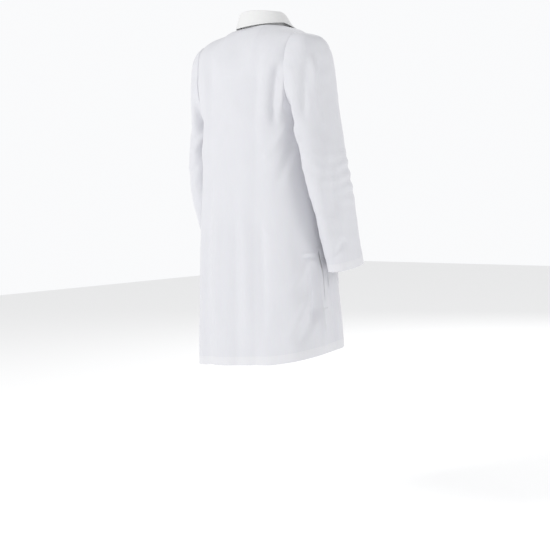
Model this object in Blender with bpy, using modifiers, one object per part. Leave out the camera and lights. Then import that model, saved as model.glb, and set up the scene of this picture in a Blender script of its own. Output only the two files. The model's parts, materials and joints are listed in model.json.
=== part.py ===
"""A knee-length laboratory coat in thin woven poly-cotton, hanging open as it does when it is worn.

The coat is cut as it is sewn: one back panel, two front panels whose free edges swing on their own, a turned-down
collar with notched lapels, two-piece bent sleeves, patch pockets, side openings, facings, buttons and a hanger loop.
Lengths are metres.  +Z is up, the front faces -Y, and the wearer's left side is +X (side = 1), the right is -X.
The origin is the centre of the neck opening at the height of the collar seam.
"""

import math

import bmesh
import bpy
from mathutils import Matrix, Vector

# ---- driving dimensions ---------------------------------------------------------------------------------------------

CLOTH = 0.0009          # one layer of cloth with its seam allowances
SEAM_GAP = 0.0004       # room left between two pieces that are sewn edge to edge
SHOULDER_GAP = 0.0008   # the same at the shoulder seam, where the two pieces meet at a ridge
LAYER_GAP = 0.0016      # room left between two layers that lie on each other

HEM_Z = -1.02
UNDERARM_Z = -0.30
CHEST_Z = -0.165        # height of the shoulder blades, where the body section stops being upright
HEM_SIDE_LEAN = 0.055   # the hem hangs lower on the wearer's left, as height per metre across
HEM_FRONT_RISE = 0.085  # and rises towards the front, as height per metre of depth

SECTION_POWER = 2.5     # squareness of the body section: 2 is an ellipse
#                height, half width, depth behind, depth in front of the centre plane
BODY_STATIONS = ((HEM_Z, 0.262, 0.188, 0.150),
                 (UNDERARM_Z, 0.205, 0.152, 0.150),
                 (CHEST_Z, 0.230, 0.134, 0.132))
ARMHOLE_ANGLE = 59.0    # degrees from centre back (or front) to the armhole seam at chest height

NECK_HALF_WIDTH, NECK_DEPTH = 0.078, 0.062
SHOULDER_TIP = Vector((0.213, 0.0, -0.053))
SHOULDER_POWER = 2.7    # squareness of the fall from the shoulder seam to the chest, 1.5 at the neck

BREAK_Z = -0.34         # where the lapel turns over
BREAK_X = 0.055         # front edge to the centre at the break
FRONT_EDGE_X = 0.095    # front edge to the centre at the hem
FLAP_ANGLE = 145.0      # degrees from centre back to the line on which the front edge swings
FLAP_TOP_GAP = 0.004

SHOULDER_CENTRE = Vector((0.168, 0.0, -0.165))
ELBOW_CENTRE = Vector((0.285, 0.0, -0.43))
ELBOW_RADIUS = 0.074    # the elbow ball: a spheroid turned about the sideways axis
ELBOW_HALF_WIDTH = 0.0570
SLEEVE_TUCK = 0.0055      # the armhole edge curves in by this much in front and behind
CAP_HALF_DEPTH, UPPER_HALF_DEPTH = 0.0705, 0.079
FOREARM_LEAN = 11.0     # degrees forward of plumb
FOREARM_LENGTH = 0.310
CUFF_SPREAD = 0.006     # the cuff stands this much further out than the elbow
CUFF_HALF_WIDTH, CUFF_HALF_DEPTH = 0.046, 0.060
CUFF_HEM = 0.028

COLLAR_STAND = 0.043
LAPEL_WIDTH = 0.060
BUTTON_RADIUS, BUTTON_THICKNESS = 0.0095, 0.0028
BUTTON_HOLE_RADIUS, BUTTON_HOLE_PITCH = 0.0012, 0.0038
BUTTON_COUNT, FIRST_BUTTON_Z, BUTTON_PITCH = 5, -0.385, 0.105
BUTTON_FROM_EDGE = 0.020
SHANK = 0.0022
BUTTONHOLE_LENGTH, BUTTONHOLE_WIDTH = 0.023, 0.0045

POCKET_TOP_Z, POCKET_BOTTOM_Z = -0.620, -0.810
POCKET_ANGLES = (98.0, 141.0)
POCKET_GAPE = 0.016
CHEST_POCKET_X, CHEST_POCKET_HALF_WIDTH = 0.143, 0.044
CHEST_POCKET_TOP_Z, CHEST_POCKET_BOTTOM_Z = -0.205, -0.325
CHEST_POCKET_FLAT = 0.545   # share of its half width that is flat
CHEST_POCKET_GAPE = 0.014

SLIT_TOP_Z, SLIT_BOTTOM_Z, SLIT_OPEN = -0.695, -0.865, 0.012

WHITE_CLOTH = (0.83, 0.83, 0.86)
COLLAR_CLOTH = (0.86, 0.86, 0.86)

# ---- scene, collections and materials -------------------------------------------------------------------------------

for existing in list(bpy.data.objects):
    bpy.data.objects.remove(existing, do_unlink=True)


def new_collection(name):
    collection = bpy.data.collections.new(name)
    bpy.context.scene.collection.children.link(collection)
    return collection


COAT = new_collection("lab_coat")
CUTTERS = new_collection("lab_coat_cutters")


def finish(name, colour, roughness):
    """A material of one even finish."""
    material = bpy.data.materials.new(name)
    material.use_nodes = True
    shader = material.node_tree.nodes["Principled BSDF"]
    shader.inputs["Base Color"].default_value = (*colour, 1.0)
    shader.inputs["Roughness"].default_value = roughness
    shader.inputs["Metallic"].default_value = 0.0
    material.diffuse_color = (*colour, 1.0)
    return material


# ---- the body of the coat as a surface ------------------------------------------------------------------------------


def lerp(a, b, t):
    return a + (b - a) * t


def smooth(t):
    t = min(max(t, 0.0), 1.0)
    return t * t * (3.0 - 2.0 * t)


def spread(first, last, count):
    """count + 1 even steps from first to last."""
    return [lerp(first, last, i / count) for i in range(count + 1)]


def body_sizes(z):
    """Half width, depth behind and depth in front of the body section at a height."""
    low, middle, high = BODY_STATIONS
    below, above = (low, middle) if z < middle[0] else (middle, high)
    t = (z - below[0]) / (above[0] - below[0])
    return [lerp(p, q, t) for p, q in zip(below[1:], above[1:])]


def section(angle, z):
    """Point of the body section at an angle from centre back (0) round the side (90) to centre front (180)."""
    half_width, behind, front = body_sizes(z)
    turn = math.radians(angle)
    power = 2.0 / SECTION_POWER
    x = half_width * abs(math.sin(turn)) ** power
    depth = behind if angle <= 90.0 else front
    y = math.copysign(depth * abs(math.cos(turn)) ** power, math.cos(turn))
    return Vector((x, y, z))


def angle_at(x, z):
    """Angle on the front half of the section at a distance x from the centre plane."""
    half_width = body_sizes(z)[0]
    return 180.0 - math.degrees(math.asin(min(1.0, (x / half_width) ** (SECTION_POWER / 2.0))))


def armhole_angle(z):
    """Angle from centre back to the side seam, or to the armhole seam above the underarm."""
    return lerp(90.0, ARMHOLE_ANGLE, max(0.0, (z - UNDERARM_Z) / (CHEST_Z - UNDERARM_Z)))


def hung(point):
    """Lets the hem lean and rise, fading out towards the underarm."""
    drop = -HEM_SIDE_LEAN * point.x - HEM_FRONT_RISE * (point.y - 0.02)
    share = smooth((UNDERARM_Z - point.z) / (UNDERARM_Z - HEM_Z))
    return Vector((point.x, point.y, point.z + drop * share))


def rounded(chest, top, squareness, t):
    """Quarter arc over the shoulder, from upright at chest height to level at the top line."""
    turn = t * math.pi / 2.0
    power = 2.0 / squareness
    level, rise = math.cos(turn) ** power, math.sin(turn) ** power
    return Vector((lerp(chest.x, top.x, smooth(t)),
                   top.y + (chest.y - top.y) * level,
                   chest.z + (top.z - chest.z) * rise))


def on_side(point, side):
    return Vector((point.x * side, point.y, point.z))


NECK_SHARE = 0.35       # share of the half back that meets the neckline rather than the shoulder seam


def back_top(s):
    """Neckline, then shoulder seam, from centre back (s = 0) to the shoulder tip (s = 1)."""
    if s < NECK_SHARE:
        turn = s / NECK_SHARE * math.pi / 2.0
        return Vector((NECK_HALF_WIDTH * math.sin(turn), NECK_DEPTH * math.cos(turn), 0.0))
    neck_point = Vector((NECK_HALF_WIDTH, 0.0, 0.0))
    return neck_point.lerp(SHOULDER_TIP, (s - NECK_SHARE) / (1.0 - NECK_SHARE))


def back_point(s, z, t):
    """Back panel: s runs from centre back to the side; t > 0 is the part above chest height."""
    if t <= 0.0:
        return section(armhole_angle(z) * s, z)
    squareness = lerp(1.5, SHOULDER_POWER, smooth(s / NECK_SHARE))
    point = rounded(section(ARMHOLE_ANGLE * s, CHEST_Z), back_top(s), squareness, t)
    point.y += SHOULDER_GAP * smooth(s / NECK_SHARE) * t
    return point


def roll_line(z):
    """Distance from the centre plane to the line on which the lapel turns."""
    return lerp(BREAK_X, NECK_HALF_WIDTH, (z - BREAK_Z) / -BREAK_Z)


def over_shoulder(chest, s, t):
    """Front panel above chest height: from a point of its chest line towards the shoulder seam."""
    top = Vector((NECK_HALF_WIDTH, 0.0, 0.0)).lerp(SHOULDER_TIP, s)
    point = rounded(chest, top, lerp(1.5, SHOULDER_POWER, smooth(s * 3.0)), t)
    point.y -= SHOULDER_GAP * t
    return point


def chest_line(s):
    """Front panel at chest height, from the roll line (0) to the armhole (1)."""
    inner = angle_at(roll_line(CHEST_Z), CHEST_Z)
    return section(lerp(inner, 180.0 - ARMHOLE_ANGLE, s), CHEST_Z)


def chest_height(x, z):
    """Front panel's surface at a width and height above the break, as the depth y."""
    if z <= CHEST_Z:
        return section(angle_at(x, z), z).y
    inner = roll_line(CHEST_Z)
    s = (x - inner) / (SHOULDER_TIP.x - inner)
    chest = chest_line(s)
    low, high = 0.0, 1.0
    for _ in range(24):
        middle = (low + high) / 2.0
        if over_shoulder(chest, s, middle).z < z:
            low = middle
        else:
            high = middle
    return over_shoulder(chest, s, low).y


# ---- turning rows of points into pieces -----------------------------------------------------------------------------


def add_grid(bm, rows, closed=False):
    """Loft between unlike sections: each row is one section, joined to the next by quads."""
    grid = [[bm.verts.new(point) for point in row] for row in rows]
    for low, high in zip(grid, grid[1:]):
        count = len(low)
        for i in range(count if closed else count - 1):
            j = (i + 1) % count
            bm.faces.new((low[i], low[j], high[j], high[i]))


def place(obj, collection=None):
    (collection or COAT).objects.link(obj)
    return obj


def mesh_object(name, bm, material=None):
    mesh = bpy.data.meshes.new(name)
    bm.to_mesh(mesh)
    bm.free()
    mesh.shade_smooth()
    obj = bpy.data.objects.new(name, mesh)
    if material:
        obj.data.materials.append(material)
    return obj


def sheet(name, grids, material, outward, closed=False, thickness=CLOTH):
    """A piece of cloth: one or more grids welded along their shared lines, thickened inwards."""
    bm = bmesh.new()
    for rows in grids:
        add_grid(bm, rows, closed)
    bmesh.ops.remove_doubles(bm, verts=bm.verts, dist=0.00005)
    bm.normal_update()
    middle = max(bm.faces, key=lambda face: face.calc_area())
    if middle.normal.dot(outward(middle.calc_center_median())) < 0.0:
        bmesh.ops.reverse_faces(bm, faces=bm.faces)
    obj = place(mesh_object(name, bm, material))
    solid = obj.modifiers.new("cloth_thickness", 'SOLIDIFY')
    solid.thickness = thickness
    solid.offset = -1.0
    solid.use_rim = True
    return obj


def from_axis(point):
    """Away from the coat's upright centre line."""
    return Vector((point.x, point.y, 0.0))


def normals_of(rows, outward):
    """Outward unit normal at each point of a grid, from its neighbours."""
    result = []
    for i, row in enumerate(rows):
        before, after = rows[max(i - 1, 0)], rows[min(i + 1, len(rows) - 1)]
        line = []
        for j, point in enumerate(row):
            along = row[min(j + 1, len(row) - 1)] - row[max(j - 1, 0)]
            normal = along.cross(after[j] - before[j]).normalized()
            line.append(normal if normal.dot(outward(point)) > 0.0 else -normal)
        result.append(line)
    return result


def lifted(rows, height, outward=from_axis):
    """The grid moved outwards (or inwards, below zero) by a height, or by a function of row and column shares."""
    normals = normals_of(rows, outward)
    last_row, last_column = len(rows) - 1, len(rows[0]) - 1
    result = []
    for i, row in enumerate(rows):
        line = []
        for j, point in enumerate(row):
            rise = height(i / last_row, j / last_column) if callable(height) else height
            line.append(point + normals[i][j] * rise)
        result.append(line)
    return result


def side_name(side):
    return "left" if side > 0 else "right"


# ---- joints ---------------------------------------------------------------------------------------------------------


def joint_empty(name, origin, axis):
    """An empty on a joint's axis, with its local X along it."""
    empty = place(bpy.data.objects.new(name, None))
    empty.empty_display_size = 0.05
    turn = Vector((1.0, 0.0, 0.0)).rotation_difference(axis)
    empty.matrix_world = Matrix.Translation(origin) @ turn.to_matrix().to_4x4()
    return empty


def hang_on(pieces, empty):
    bpy.context.view_layer.update()
    for piece in pieces:
        piece.parent = empty
        piece.matrix_parent_inverse = empty.matrix_world.inverted()


# ---- back -----------------------------------------------------------------------------------------------------------


def seam_gap_angle(z):
    return math.degrees(SEAM_GAP / body_sizes(z)[0])


def back_panel(material):
    """One smooth panel from side seam to side seam, with no centre seam or vent."""
    columns = spread(-1.0, 1.0, 18)
    rows = []
    for z in spread(HEM_Z, UNDERARM_Z, 8) + spread(UNDERARM_Z, CHEST_Z, 3)[1:]:
        rows.append([hung(on_side(back_point(abs(s), z, 0.0), math.copysign(1.0, s))) for s in columns])
    for t in spread(0.0, 1.0, 6)[1:]:
        rows.append([on_side(back_point(abs(s), CHEST_Z, t), math.copysign(1.0, s)) for s in columns])
    return sheet("back_panel", [rows], material, from_axis)


def neck_rows(shares, heights, lift):
    """Part of the upper back, between two shares of its width and of its height, moved by lift."""
    rows = [[on_side(back_point(abs(s), CHEST_Z, t), math.copysign(1.0, s)) for s in shares] for t in heights]
    return lifted(rows, lift)


def back_neck_facing(material):
    """Facing inside the back of the neck, on the back panel's own lines."""
    rows = neck_rows(spread(-3.0 / 9.0, 3.0 / 9.0, 6), spread(0.5, 1.0, 3), -(CLOTH + LAYER_GAP))
    return sheet("back_neck_facing", [rows], material, from_axis)


def size_label(material):
    """A blank woven label, sewn inside the neck."""
    rows = neck_rows(spread(-0.085, 0.085, 4), spread(0.54, 0.64, 2), -2.0 * (CLOTH + LAYER_GAP))
    return sheet("size_label", [rows], material, from_axis, thickness=0.0006)


def hanger_loop(material):
    """A tape sewn down at both ends under the collar seam, bowed so that a hook passes behind it."""
    bow = 0.014

    def rise(_, across):
        return -2.0 * (CLOTH + LAYER_GAP) - bow * math.sin(math.pi * across) ** 2

    rows = neck_rows(spread(-0.11, 0.11, 14), (0.77, 0.82), rise)
    return sheet("hanger_loop", [rows], material, from_axis)


# ---- fronts ---------------------------------------------------------------------------------------------------------


def slit_recess(z):
    """How far the front panel's side edge stands back from the seam line at the side opening, in metres."""
    share = (z - SLIT_BOTTOM_Z) / (SLIT_TOP_Z - SLIT_BOTTOM_Z)
    return SLIT_OPEN * math.sin(math.pi * share) ** 0.5 if 0.0 < share < 1.0 else 0.0


def front_heights():
    lower = spread(HEM_Z, SLIT_BOTTOM_Z, 2)
    slit = spread(SLIT_BOTTOM_Z, SLIT_TOP_Z, 6)[1:]
    return lower + slit + spread(SLIT_TOP_Z, BREAK_Z, 4)[1:]


def front_row(z, inner_angle, count):
    outer = 180.0 - armhole_angle(z) + seam_gap_angle(z) * (1.0 if z <= UNDERARM_Z else 0.0)
    outer += math.degrees(slit_recess(z) / body_sizes(z)[0])
    return [section(angle, z) for angle in spread(inner_angle, outer, count)]


def front_panel(side, material):
    """From the side seam to the swing line, and above the break on to the roll line and the shoulder seam."""
    outer_count, inner_count = 7, 4
    lower = [[hung(on_side(p, side)) for p in front_row(z, FLAP_ANGLE - 0.25, outer_count)]
             for z in front_heights()]
    upper = []
    for z in spread(BREAK_Z, UNDERARM_Z, 1) + spread(UNDERARM_Z, CHEST_Z, 3)[1:]:
        outer = front_row(z, FLAP_ANGLE - 0.25, outer_count)
        inner = [section(a, z) for a in spread(angle_at(roll_line(z), z), FLAP_ANGLE - 0.25, inner_count)]
        upper.append([hung(on_side(p, side)) for p in inner[:-1] + outer])
    chest = upper[-1]
    for t in spread(0.0, 1.0, 6)[1:]:
        row = []
        for j, point in enumerate(chest):
            start = Vector((abs(point.x), point.y, point.z))
            row.append(on_side(over_shoulder(start, j / (len(chest) - 1), t), side))
        upper.append(row)
    return sheet(side_name(side) + "_front_panel", [lower, upper], material, from_axis)


def flap_edge_angle(z):
    x = lerp(FRONT_EDGE_X, BREAK_X, (z - HEM_Z) / (BREAK_Z - HEM_Z))
    return angle_at(x, z)


def flap_rows(side, inner_share=1.0, rows=10, columns=4, trim=0.0):
    """The swinging front edge, from its swing line (share 0) to the front edge (share 1)."""
    result = []
    for z in spread(HEM_Z + trim, BREAK_Z - FLAP_TOP_GAP - trim, rows):
        start, end = FLAP_ANGLE + 0.25, flap_edge_angle(z)
        angles = spread(lerp(end, start, inner_share), end, columns)
        result.append([hung(on_side(section(angle, z), side)) for angle in angles])
    return result


def flap_place(side, z, from_edge):
    """Matrix at a point of the front edge strip, with local Z outwards and local Y up the strip."""
    edge = section(flap_edge_angle(z), z)
    angle = angle_at(edge.x + from_edge, z)
    here = hung(on_side(section(angle, z), side))
    above = hung(on_side(section(angle, z + 0.01), side))
    beside = hung(on_side(section(angle - 1.0, z), side))
    up = (above - here).normalized()
    out = up.cross(beside - here).normalized()
    if out.y > 0.0:
        out = -out
    across = up.cross(out).normalized()
    matrix = Matrix((across, up, out)).transposed().to_4x4()
    return Matrix.Translation(here) @ matrix


def button_heights():
    return [FIRST_BUTTON_Z - i * BUTTON_PITCH for i in range(BUTTON_COUNT)]


def cut_buttonholes(piece, side):
    """Level slots through the strip, one at each button's height."""
    for number, z in enumerate(button_heights(), 1):
        bm = bmesh.new()
        bmesh.ops.create_cube(bm, size=1.0)
        size = Matrix.Diagonal((BUTTONHOLE_LENGTH, BUTTONHOLE_WIDTH, 0.02, 1.0))
        bm.transform(flap_place(side, z, BUTTON_FROM_EDGE) @ size)
        cutter = place(mesh_object(f"{piece.name}_hole_cutter_{number}", bm), CUTTERS)
        cutter.hide_render = True
        cutter.display_type = 'WIRE'
        cut = piece.modifiers.new(f"buttonhole_{number}", 'BOOLEAN')
        cut.operation = 'DIFFERENCE'
        cut.object = cutter


def front_edge(side, material):
    return sheet(side_name(side) + "_front_edge", [flap_rows(side)], material, from_axis)


def front_facing(side, material):
    rows = lifted(flap_rows(side, inner_share=0.82, columns=3, trim=0.004), -(CLOTH + LAYER_GAP))
    return sheet(side_name(side) + "_front_facing", [rows], material, from_axis)


def lapel(side, material):
    """Turned back on the roll line and lying on the chest, widest at the notch."""
    rows = []
    for t in spread(0.02, 1.0, 7):
        row = []
        for s in spread(0.0, 1.0, 4):
            z = lerp(BREAK_Z + 0.004, lerp(-0.050, -0.088, s), t)
            x = roll_line(z) + 0.0012 + s * (0.004 + LAPEL_WIDTH * t)
            lift = 0.0032 + 0.0035 * (1.0 - s) ** 2 + 0.0035 * s * smooth(t * 2.0 - 1.0)
            row.append(on_side(Vector((x, chest_height(x, z) - lift, z)), side))
        rows.append(row)
    return sheet(side_name(side) + "_lapel", [rows], material, lambda point: Vector((0.0, -1.0, 0.0)))


# ---- collar ---------------------------------------------------------------------------------------------------------


def neck_path(q):
    """Neck seam from centre back (0) past the neck point (0.62) to the gorge (1): point and outward direction."""
    q, side = abs(q), math.copysign(1.0, q)
    neck_point_share = 0.62
    if q <= neck_point_share:
        turn = q / neck_point_share * math.pi / 2.0
        point = Vector((NECK_HALF_WIDTH * math.sin(turn), NECK_DEPTH * math.cos(turn), 0.0))
        out = Vector((math.sin(turn), math.cos(turn), 0.0))
    else:
        z = -0.042 * (q - neck_point_share) / (1.0 - neck_point_share)
        x = roll_line(z)
        point = Vector((x, chest_height(x, z), z))
        out = Vector((1.0, 0.0, 0.0))
    return on_side(point, side), on_side(out, side), q


def collar_station(q, stations):
    """Reads a row of values at the back, the neck point and the front end."""
    back, neck, front = stations
    t = q / 0.62
    return lerp(back, neck, smooth(t)) if t < 1.0 else lerp(neck, front, smooth((q - 0.62) / 0.38))


def under_collar(material):
    """The stand and inner layer, up from the neck seam."""
    columns = spread(-1.0, 1.0, 22)
    rows = []
    for k in spread(0.0, 1.0, 3):
        row = []
        for q in columns:
            point, out, share = neck_path(q)
            top = collar_station(share, (COLLAR_STAND, 0.034, 0.010))
            row.append(point + out * (0.0004 + 0.002 * k) + Vector((0.0, 0.0, lerp(0.0045, top, k))))
        rows.append(row)
    return sheet("under_collar", [rows], material, from_axis)


def upper_collar(material):
    """The fall: over the top of the stand and down outside it to the collar's free edge."""
    rows = []
    for k in spread(0.0, 1.0, 7):
        row = []
        for q in spread(-1.0, 1.0, 22):
            point, out, share = neck_path(q)
            top = collar_station(share, (COLLAR_STAND, 0.034, 0.010)) + 0.0035
            reach = collar_station(share, (0.018, 0.038, 0.046))
            drop = collar_station(share, (-0.004, 0.000, 0.019))
            if k < 0.3:
                bend = k / 0.3 * math.pi
                offset = Vector((0.0, 0.0, top - 0.003 + 0.0035 * math.sin(bend)))
                offset += out * (0.0022 - 0.0040 * math.cos(bend))
            else:
                fall = (k - 0.3) / 0.7
                offset = out * lerp(0.0062, reach, fall ** 1.4)
                offset += Vector((0.0, 0.0, lerp(top - 0.003, drop, fall)))
            row.append(point + offset)
        rows.append(row)
    return sheet("upper_collar", [rows], material, lambda point: Vector((0.0, 0.0, 1.0)) + from_axis(point) * 20.0)


# ---- pockets and side openings --------------------------------------------------------------------------------------


def lower_pocket(side, material):
    """Patch pocket at the hip, closed at its sides and foot and gaping at the mouth."""
    rows = []
    for z in spread(POCKET_BOTTOM_Z, POCKET_TOP_Z, 6):
        rows.append([hung(on_side(section(angle, z), side)) for angle in spread(*POCKET_ANGLES, 8)])

    def gape(up, across):
        mouth = math.sin(math.pi * across) ** 0.8 * smooth(up * 1.6) if 0.0 < across < 1.0 else 0.0
        return CLOTH + LAYER_GAP + POCKET_GAPE * mouth

    return sheet(side_name(side) + "_lower_pocket", [lifted(rows, gape)], material, from_axis)


def chest_pocket_plane():
    """Top and foot of the pocket's flat middle, and its level direction, on the wearer's left."""
    points = []
    for z, lift in ((CHEST_POCKET_TOP_Z, CHEST_POCKET_GAPE), (CHEST_POCKET_BOTTOM_Z, 0.0040)):
        angle = angle_at(CHEST_POCKET_X, z)
        here, beside = section(angle, z), section(angle + 1.0, z)
        level = (beside - here).normalized()
        normal = Vector((-level.y, level.x, 0.0))
        normal *= math.copysign(1.0, normal.dot(here))
        points.append((here + normal * lift, level))
    return points[0][0], points[1][0], points[0][1]


def chest_pocket(material):
    """Patch pocket on the wearer's left chest, with a flat middle where a badge or a pen clip sits."""
    top, foot, level = chest_pocket_plane()
    rows = []
    for up in (0.0, 0.5, 1.0):
        row = []
        middle = foot.lerp(top, up)
        for share in (-1.0, -0.8, -CHEST_POCKET_FLAT, CHEST_POCKET_FLAT, 0.8, 1.0):
            flat = middle + level * (share * CHEST_POCKET_HALF_WIDTH)
            side_share = smooth((abs(share) - CHEST_POCKET_FLAT) / (1.0 - CHEST_POCKET_FLAT))
            angle = angle_at(flat.x, flat.z)
            here = section(angle, flat.z)
            normal = Vector((here.x, here.y * 2.2, 0.0)).normalized()
            row.append(flat.lerp(here + normal * (CLOTH + LAYER_GAP), side_share))
        rows.append(row)
    return sheet("chest_pocket", [rows], material, from_axis)


def side_opening_facing(side, material):
    """Strip behind the front edge of the side opening that gives reach to trouser pockets."""
    rows = []
    for z in spread(SLIT_BOTTOM_Z - 0.012, SLIT_TOP_Z + 0.012, 6):
        start = 90.6 + math.degrees(slit_recess(z) / body_sizes(z)[0])
        rows.append([hung(on_side(section(angle, z), side)) for angle in spread(start, start + 6.0, 2)])
    return sheet(side_name(side) + "_side_opening_facing", [lifted(rows, -(CLOTH + LAYER_GAP))], material, from_axis)


# ---- sleeves --------------------------------------------------------------------------------------------------------

SLEEVE_COUNT = 22       # points around a sleeve
SLEEVE_POWER = 2.2


def loop(centre, across, along_depth, half_depth, count=SLEEVE_COUNT):
    """Closed superellipse from half axis 'across' and depth direction 'along_depth'."""
    power = 2.0 / SLEEVE_POWER
    points = []
    for i in range(count):
        turn = 2.0 * math.pi * i / count
        c, s = math.cos(turn), math.sin(turn)
        points.append(centre + across * math.copysign(abs(c) ** power, c)
                      + along_depth * (half_depth * math.copysign(abs(s) ** power, s)))
    return points


def through(stations, count):
    """Smooth curve through stations (Catmull-Rom), as count + 1 points."""
    result = []
    last = len(stations) - 1
    for t in spread(0.0, last, count):
        i = min(int(t), last - 1)
        f = t - i
        p0, p1, p2, p3 = (stations[max(i - 1, 0)], stations[i], stations[i + 1], stations[min(i + 2, last)])
        result.append(0.5 * ((2.0 * p1) + (p2 - p0) * f + (2.0 * p0 - 5.0 * p1 + 4.0 * p2 - p3) * f * f
                             + (3.0 * p1 - p0 - 3.0 * p2 + p3) * f * f * f))
    return result


# height and sideways place of the sleeve's outer (over the shoulder) and inner (underarm) lines
SLEEVE_OUTER = (Vector((0.2165, 0.0, -0.0605)), Vector((0.2575, 0.0, -0.0915)), Vector((0.2850, 0.0, -0.150)),
                Vector((0.307, 0.0, -0.230)), Vector((0.329, 0.0, -0.320)), Vector((0.3450, 0.0, -0.414)))
SLEEVE_INNER = (Vector((0.2105, 0.0, -0.297)), Vector((0.2110, 0.0, -0.303)), Vector((0.2125, 0.0, -0.315)),
                Vector((0.2145, 0.0, -0.338)), Vector((0.2180, 0.0, -0.370)), Vector((0.2250, 0.0, -0.414)))


def sleeve_upper(side, material):
    """From the armhole, where it follows a ball about the shoulder, to a mouth cut on the slant round the elbow."""
    count = 9
    rows = []
    for i, (outer, inner) in enumerate(zip(through(SLEEVE_OUTER, count), through(SLEEVE_INNER, count))):
        share = i / count
        half_depth = lerp(CAP_HALF_DEPTH, UPPER_HALF_DEPTH, smooth((share - 0.2) * 1.6))
        row = loop((outer + inner) / 2.0, (outer - inner) / 2.0, Vector((0.0, 1.0, 0.0)), half_depth)
        slant = smooth((share - 0.55) / 0.45)
        for k, point in enumerate(row):
            level = 1.0 - (abs(point.y) / half_depth - 1.0) ** 2
            tuck = smooth((point.z + 0.262) / 0.07) * (1.0 - smooth(share * 4.0))
            point.x -= SLEEVE_TUCK * level * tuck
            point.z -= 0.46 * point.y * slant
            row[k] = on_side(point, side)
        rows.append(row)
    return sheet(side_name(side) + "_sleeve_upper", [rows], material,
                 lambda p: p - on_side(Vector((0.25, 0.0, p.z)), side), closed=True)


def forearm_axes():
    lean = math.radians(FOREARM_LEAN)
    down = Vector((0.0, -math.sin(lean), -math.cos(lean)))
    front = Vector((0.0, -math.cos(lean), math.sin(lean)))
    return down, front


def forearm_loop(along, side, shrink=0.0):
    """Section of the lower sleeve at a distance below the elbow."""
    down, front = forearm_axes()
    share = along / FOREARM_LENGTH
    centre = ELBOW_CENTRE + down * along + Vector((CUFF_SPREAD * share, 0.0, 0.0))
    half_width = lerp(ELBOW_HALF_WIDTH, CUFF_HALF_WIDTH, share) - shrink
    half_depth = lerp(ELBOW_RADIUS, CUFF_HALF_DEPTH, share) - shrink
    return [on_side(p, side) for p in loop(centre, Vector((half_width, 0.0, 0.0)), front, half_depth)]


def sleeve_lower(side, material):
    """The ball at its top turns inside the upper sleeve's mouth; below it the sleeve tapers to the cuff."""
    down, front = forearm_axes()
    front_top, back_top_angle, steps = 50.0, 72.0, 6
    rows = []
    for k in range(steps):
        share = 1.0 - k / steps
        points = []
        for direction, top_angle in ((front, front_top), (-front, back_top_angle)):
            turn = math.radians(top_angle * share)
            points.append(ELBOW_CENTRE + (direction * math.cos(turn) - down * math.sin(turn)) * ELBOW_RADIUS)
        centre = (points[0] + points[1]) / 2.0
        chord = (points[0] - points[1]) / 2.0
        half_width = ELBOW_HALF_WIDTH * chord.length / ELBOW_RADIUS
        row = []
        for point in loop(Vector((0.0, 0.0, 0.0)), Vector((half_width, 0.0, 0.0)), chord.normalized(), chord.length):
            row.append(on_side(centre + point, side))
        rows.append(row)
    rows += [forearm_loop(along, side) for along in spread(0.0, FOREARM_LENGTH, 6)]
    return sheet(side_name(side) + "_sleeve_lower", [rows], material,
                 lambda p: from_sleeve_axis(p, side), closed=True)


def from_sleeve_axis(point, side):
    """Direction level from the middle of the forearm to a point of it."""
    forward = (ELBOW_CENTRE.z - point.z) * math.tan(math.radians(FOREARM_LEAN))
    return point - on_side(Vector((ELBOW_CENTRE.x, -forward, point.z)), side)


def cuff_facing(side, material):
    """The turned-up hem inside the cuff."""
    inside = CLOTH + LAYER_GAP
    rows = [forearm_loop(along, side, shrink=inside)
            for along in spread(FOREARM_LENGTH - CUFF_HEM, FOREARM_LENGTH - 0.0006, 2)]
    return sheet(side_name(side) + "_cuff_facing", [rows], material,
                 lambda p: from_sleeve_axis(p, side), closed=True)


# ---- buttons --------------------------------------------------------------------------------------------------------


def hole_places():
    half = BUTTON_HOLE_PITCH / 2.0
    return [(x, y) for x in (-half, half) for y in (-half, half)]


def button_mesh():
    """A four-hole button with a soft rim, its back face at local Z = 0."""
    bm = bmesh.new()
    bmesh.ops.create_cone(bm, cap_ends=True, segments=20, radius1=BUTTON_RADIUS, radius2=BUTTON_RADIUS,
                          depth=BUTTON_THICKNESS, matrix=Matrix.Translation((0.0, 0.0, BUTTON_THICKNESS / 2.0)))
    rim = [edge for edge in bm.edges if edge.calc_face_angle(0.0) > 1.0]
    bmesh.ops.bevel(bm, geom=rim, offset=0.0007, segments=1, profile=0.6, affect='EDGES')
    return bm


def stay_boxes():
    """Thread: a shank against the cloth, four legs through the holes and two stitches across the face."""
    solids = []
    leg_top = BUTTON_THICKNESS + 0.0008
    solids.append((0.0, 0.0, -SHANK + 0.0003, -0.0003, 0.0044, 0.0044))
    for x, y in hole_places():
        solids.append((x, y, -0.0006, leg_top, 0.0009, 0.0009))
    for x in (-BUTTON_HOLE_PITCH / 2.0, BUTTON_HOLE_PITCH / 2.0):
        solids.append((x, 0.0, BUTTON_THICKNESS + 0.0003, leg_top, 0.0009, BUTTON_HOLE_PITCH + 0.0009))
    return solids


def box_object(name, spec, collection):
    x, y, low, high, size_x, size_y = spec
    bm = bmesh.new()
    bmesh.ops.create_cube(bm, size=1.0)
    bm.transform(Matrix.Translation((x, y, (low + high) / 2.0))
                 @ Matrix.Diagonal((size_x, size_y, high - low, 1.0)))
    return place(mesh_object(name, bm), collection)


def evaluated_mesh(obj):
    bpy.context.view_layer.update()
    finished = obj.evaluated_get(bpy.context.evaluated_depsgraph_get())
    return bpy.data.meshes.new_from_object(finished)


def combined(name, base, tools, operation):
    """The base with the tools joined or cut, as a plain mesh; the working objects are removed."""
    for tool in tools:
        step = base.modifiers.new("step", 'BOOLEAN')
        step.operation = operation
        step.object = tool
    mesh = evaluated_mesh(base)
    mesh.name = name
    for obj in [base] + tools:
        bpy.data.objects.remove(obj, do_unlink=True)
    return mesh


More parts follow.
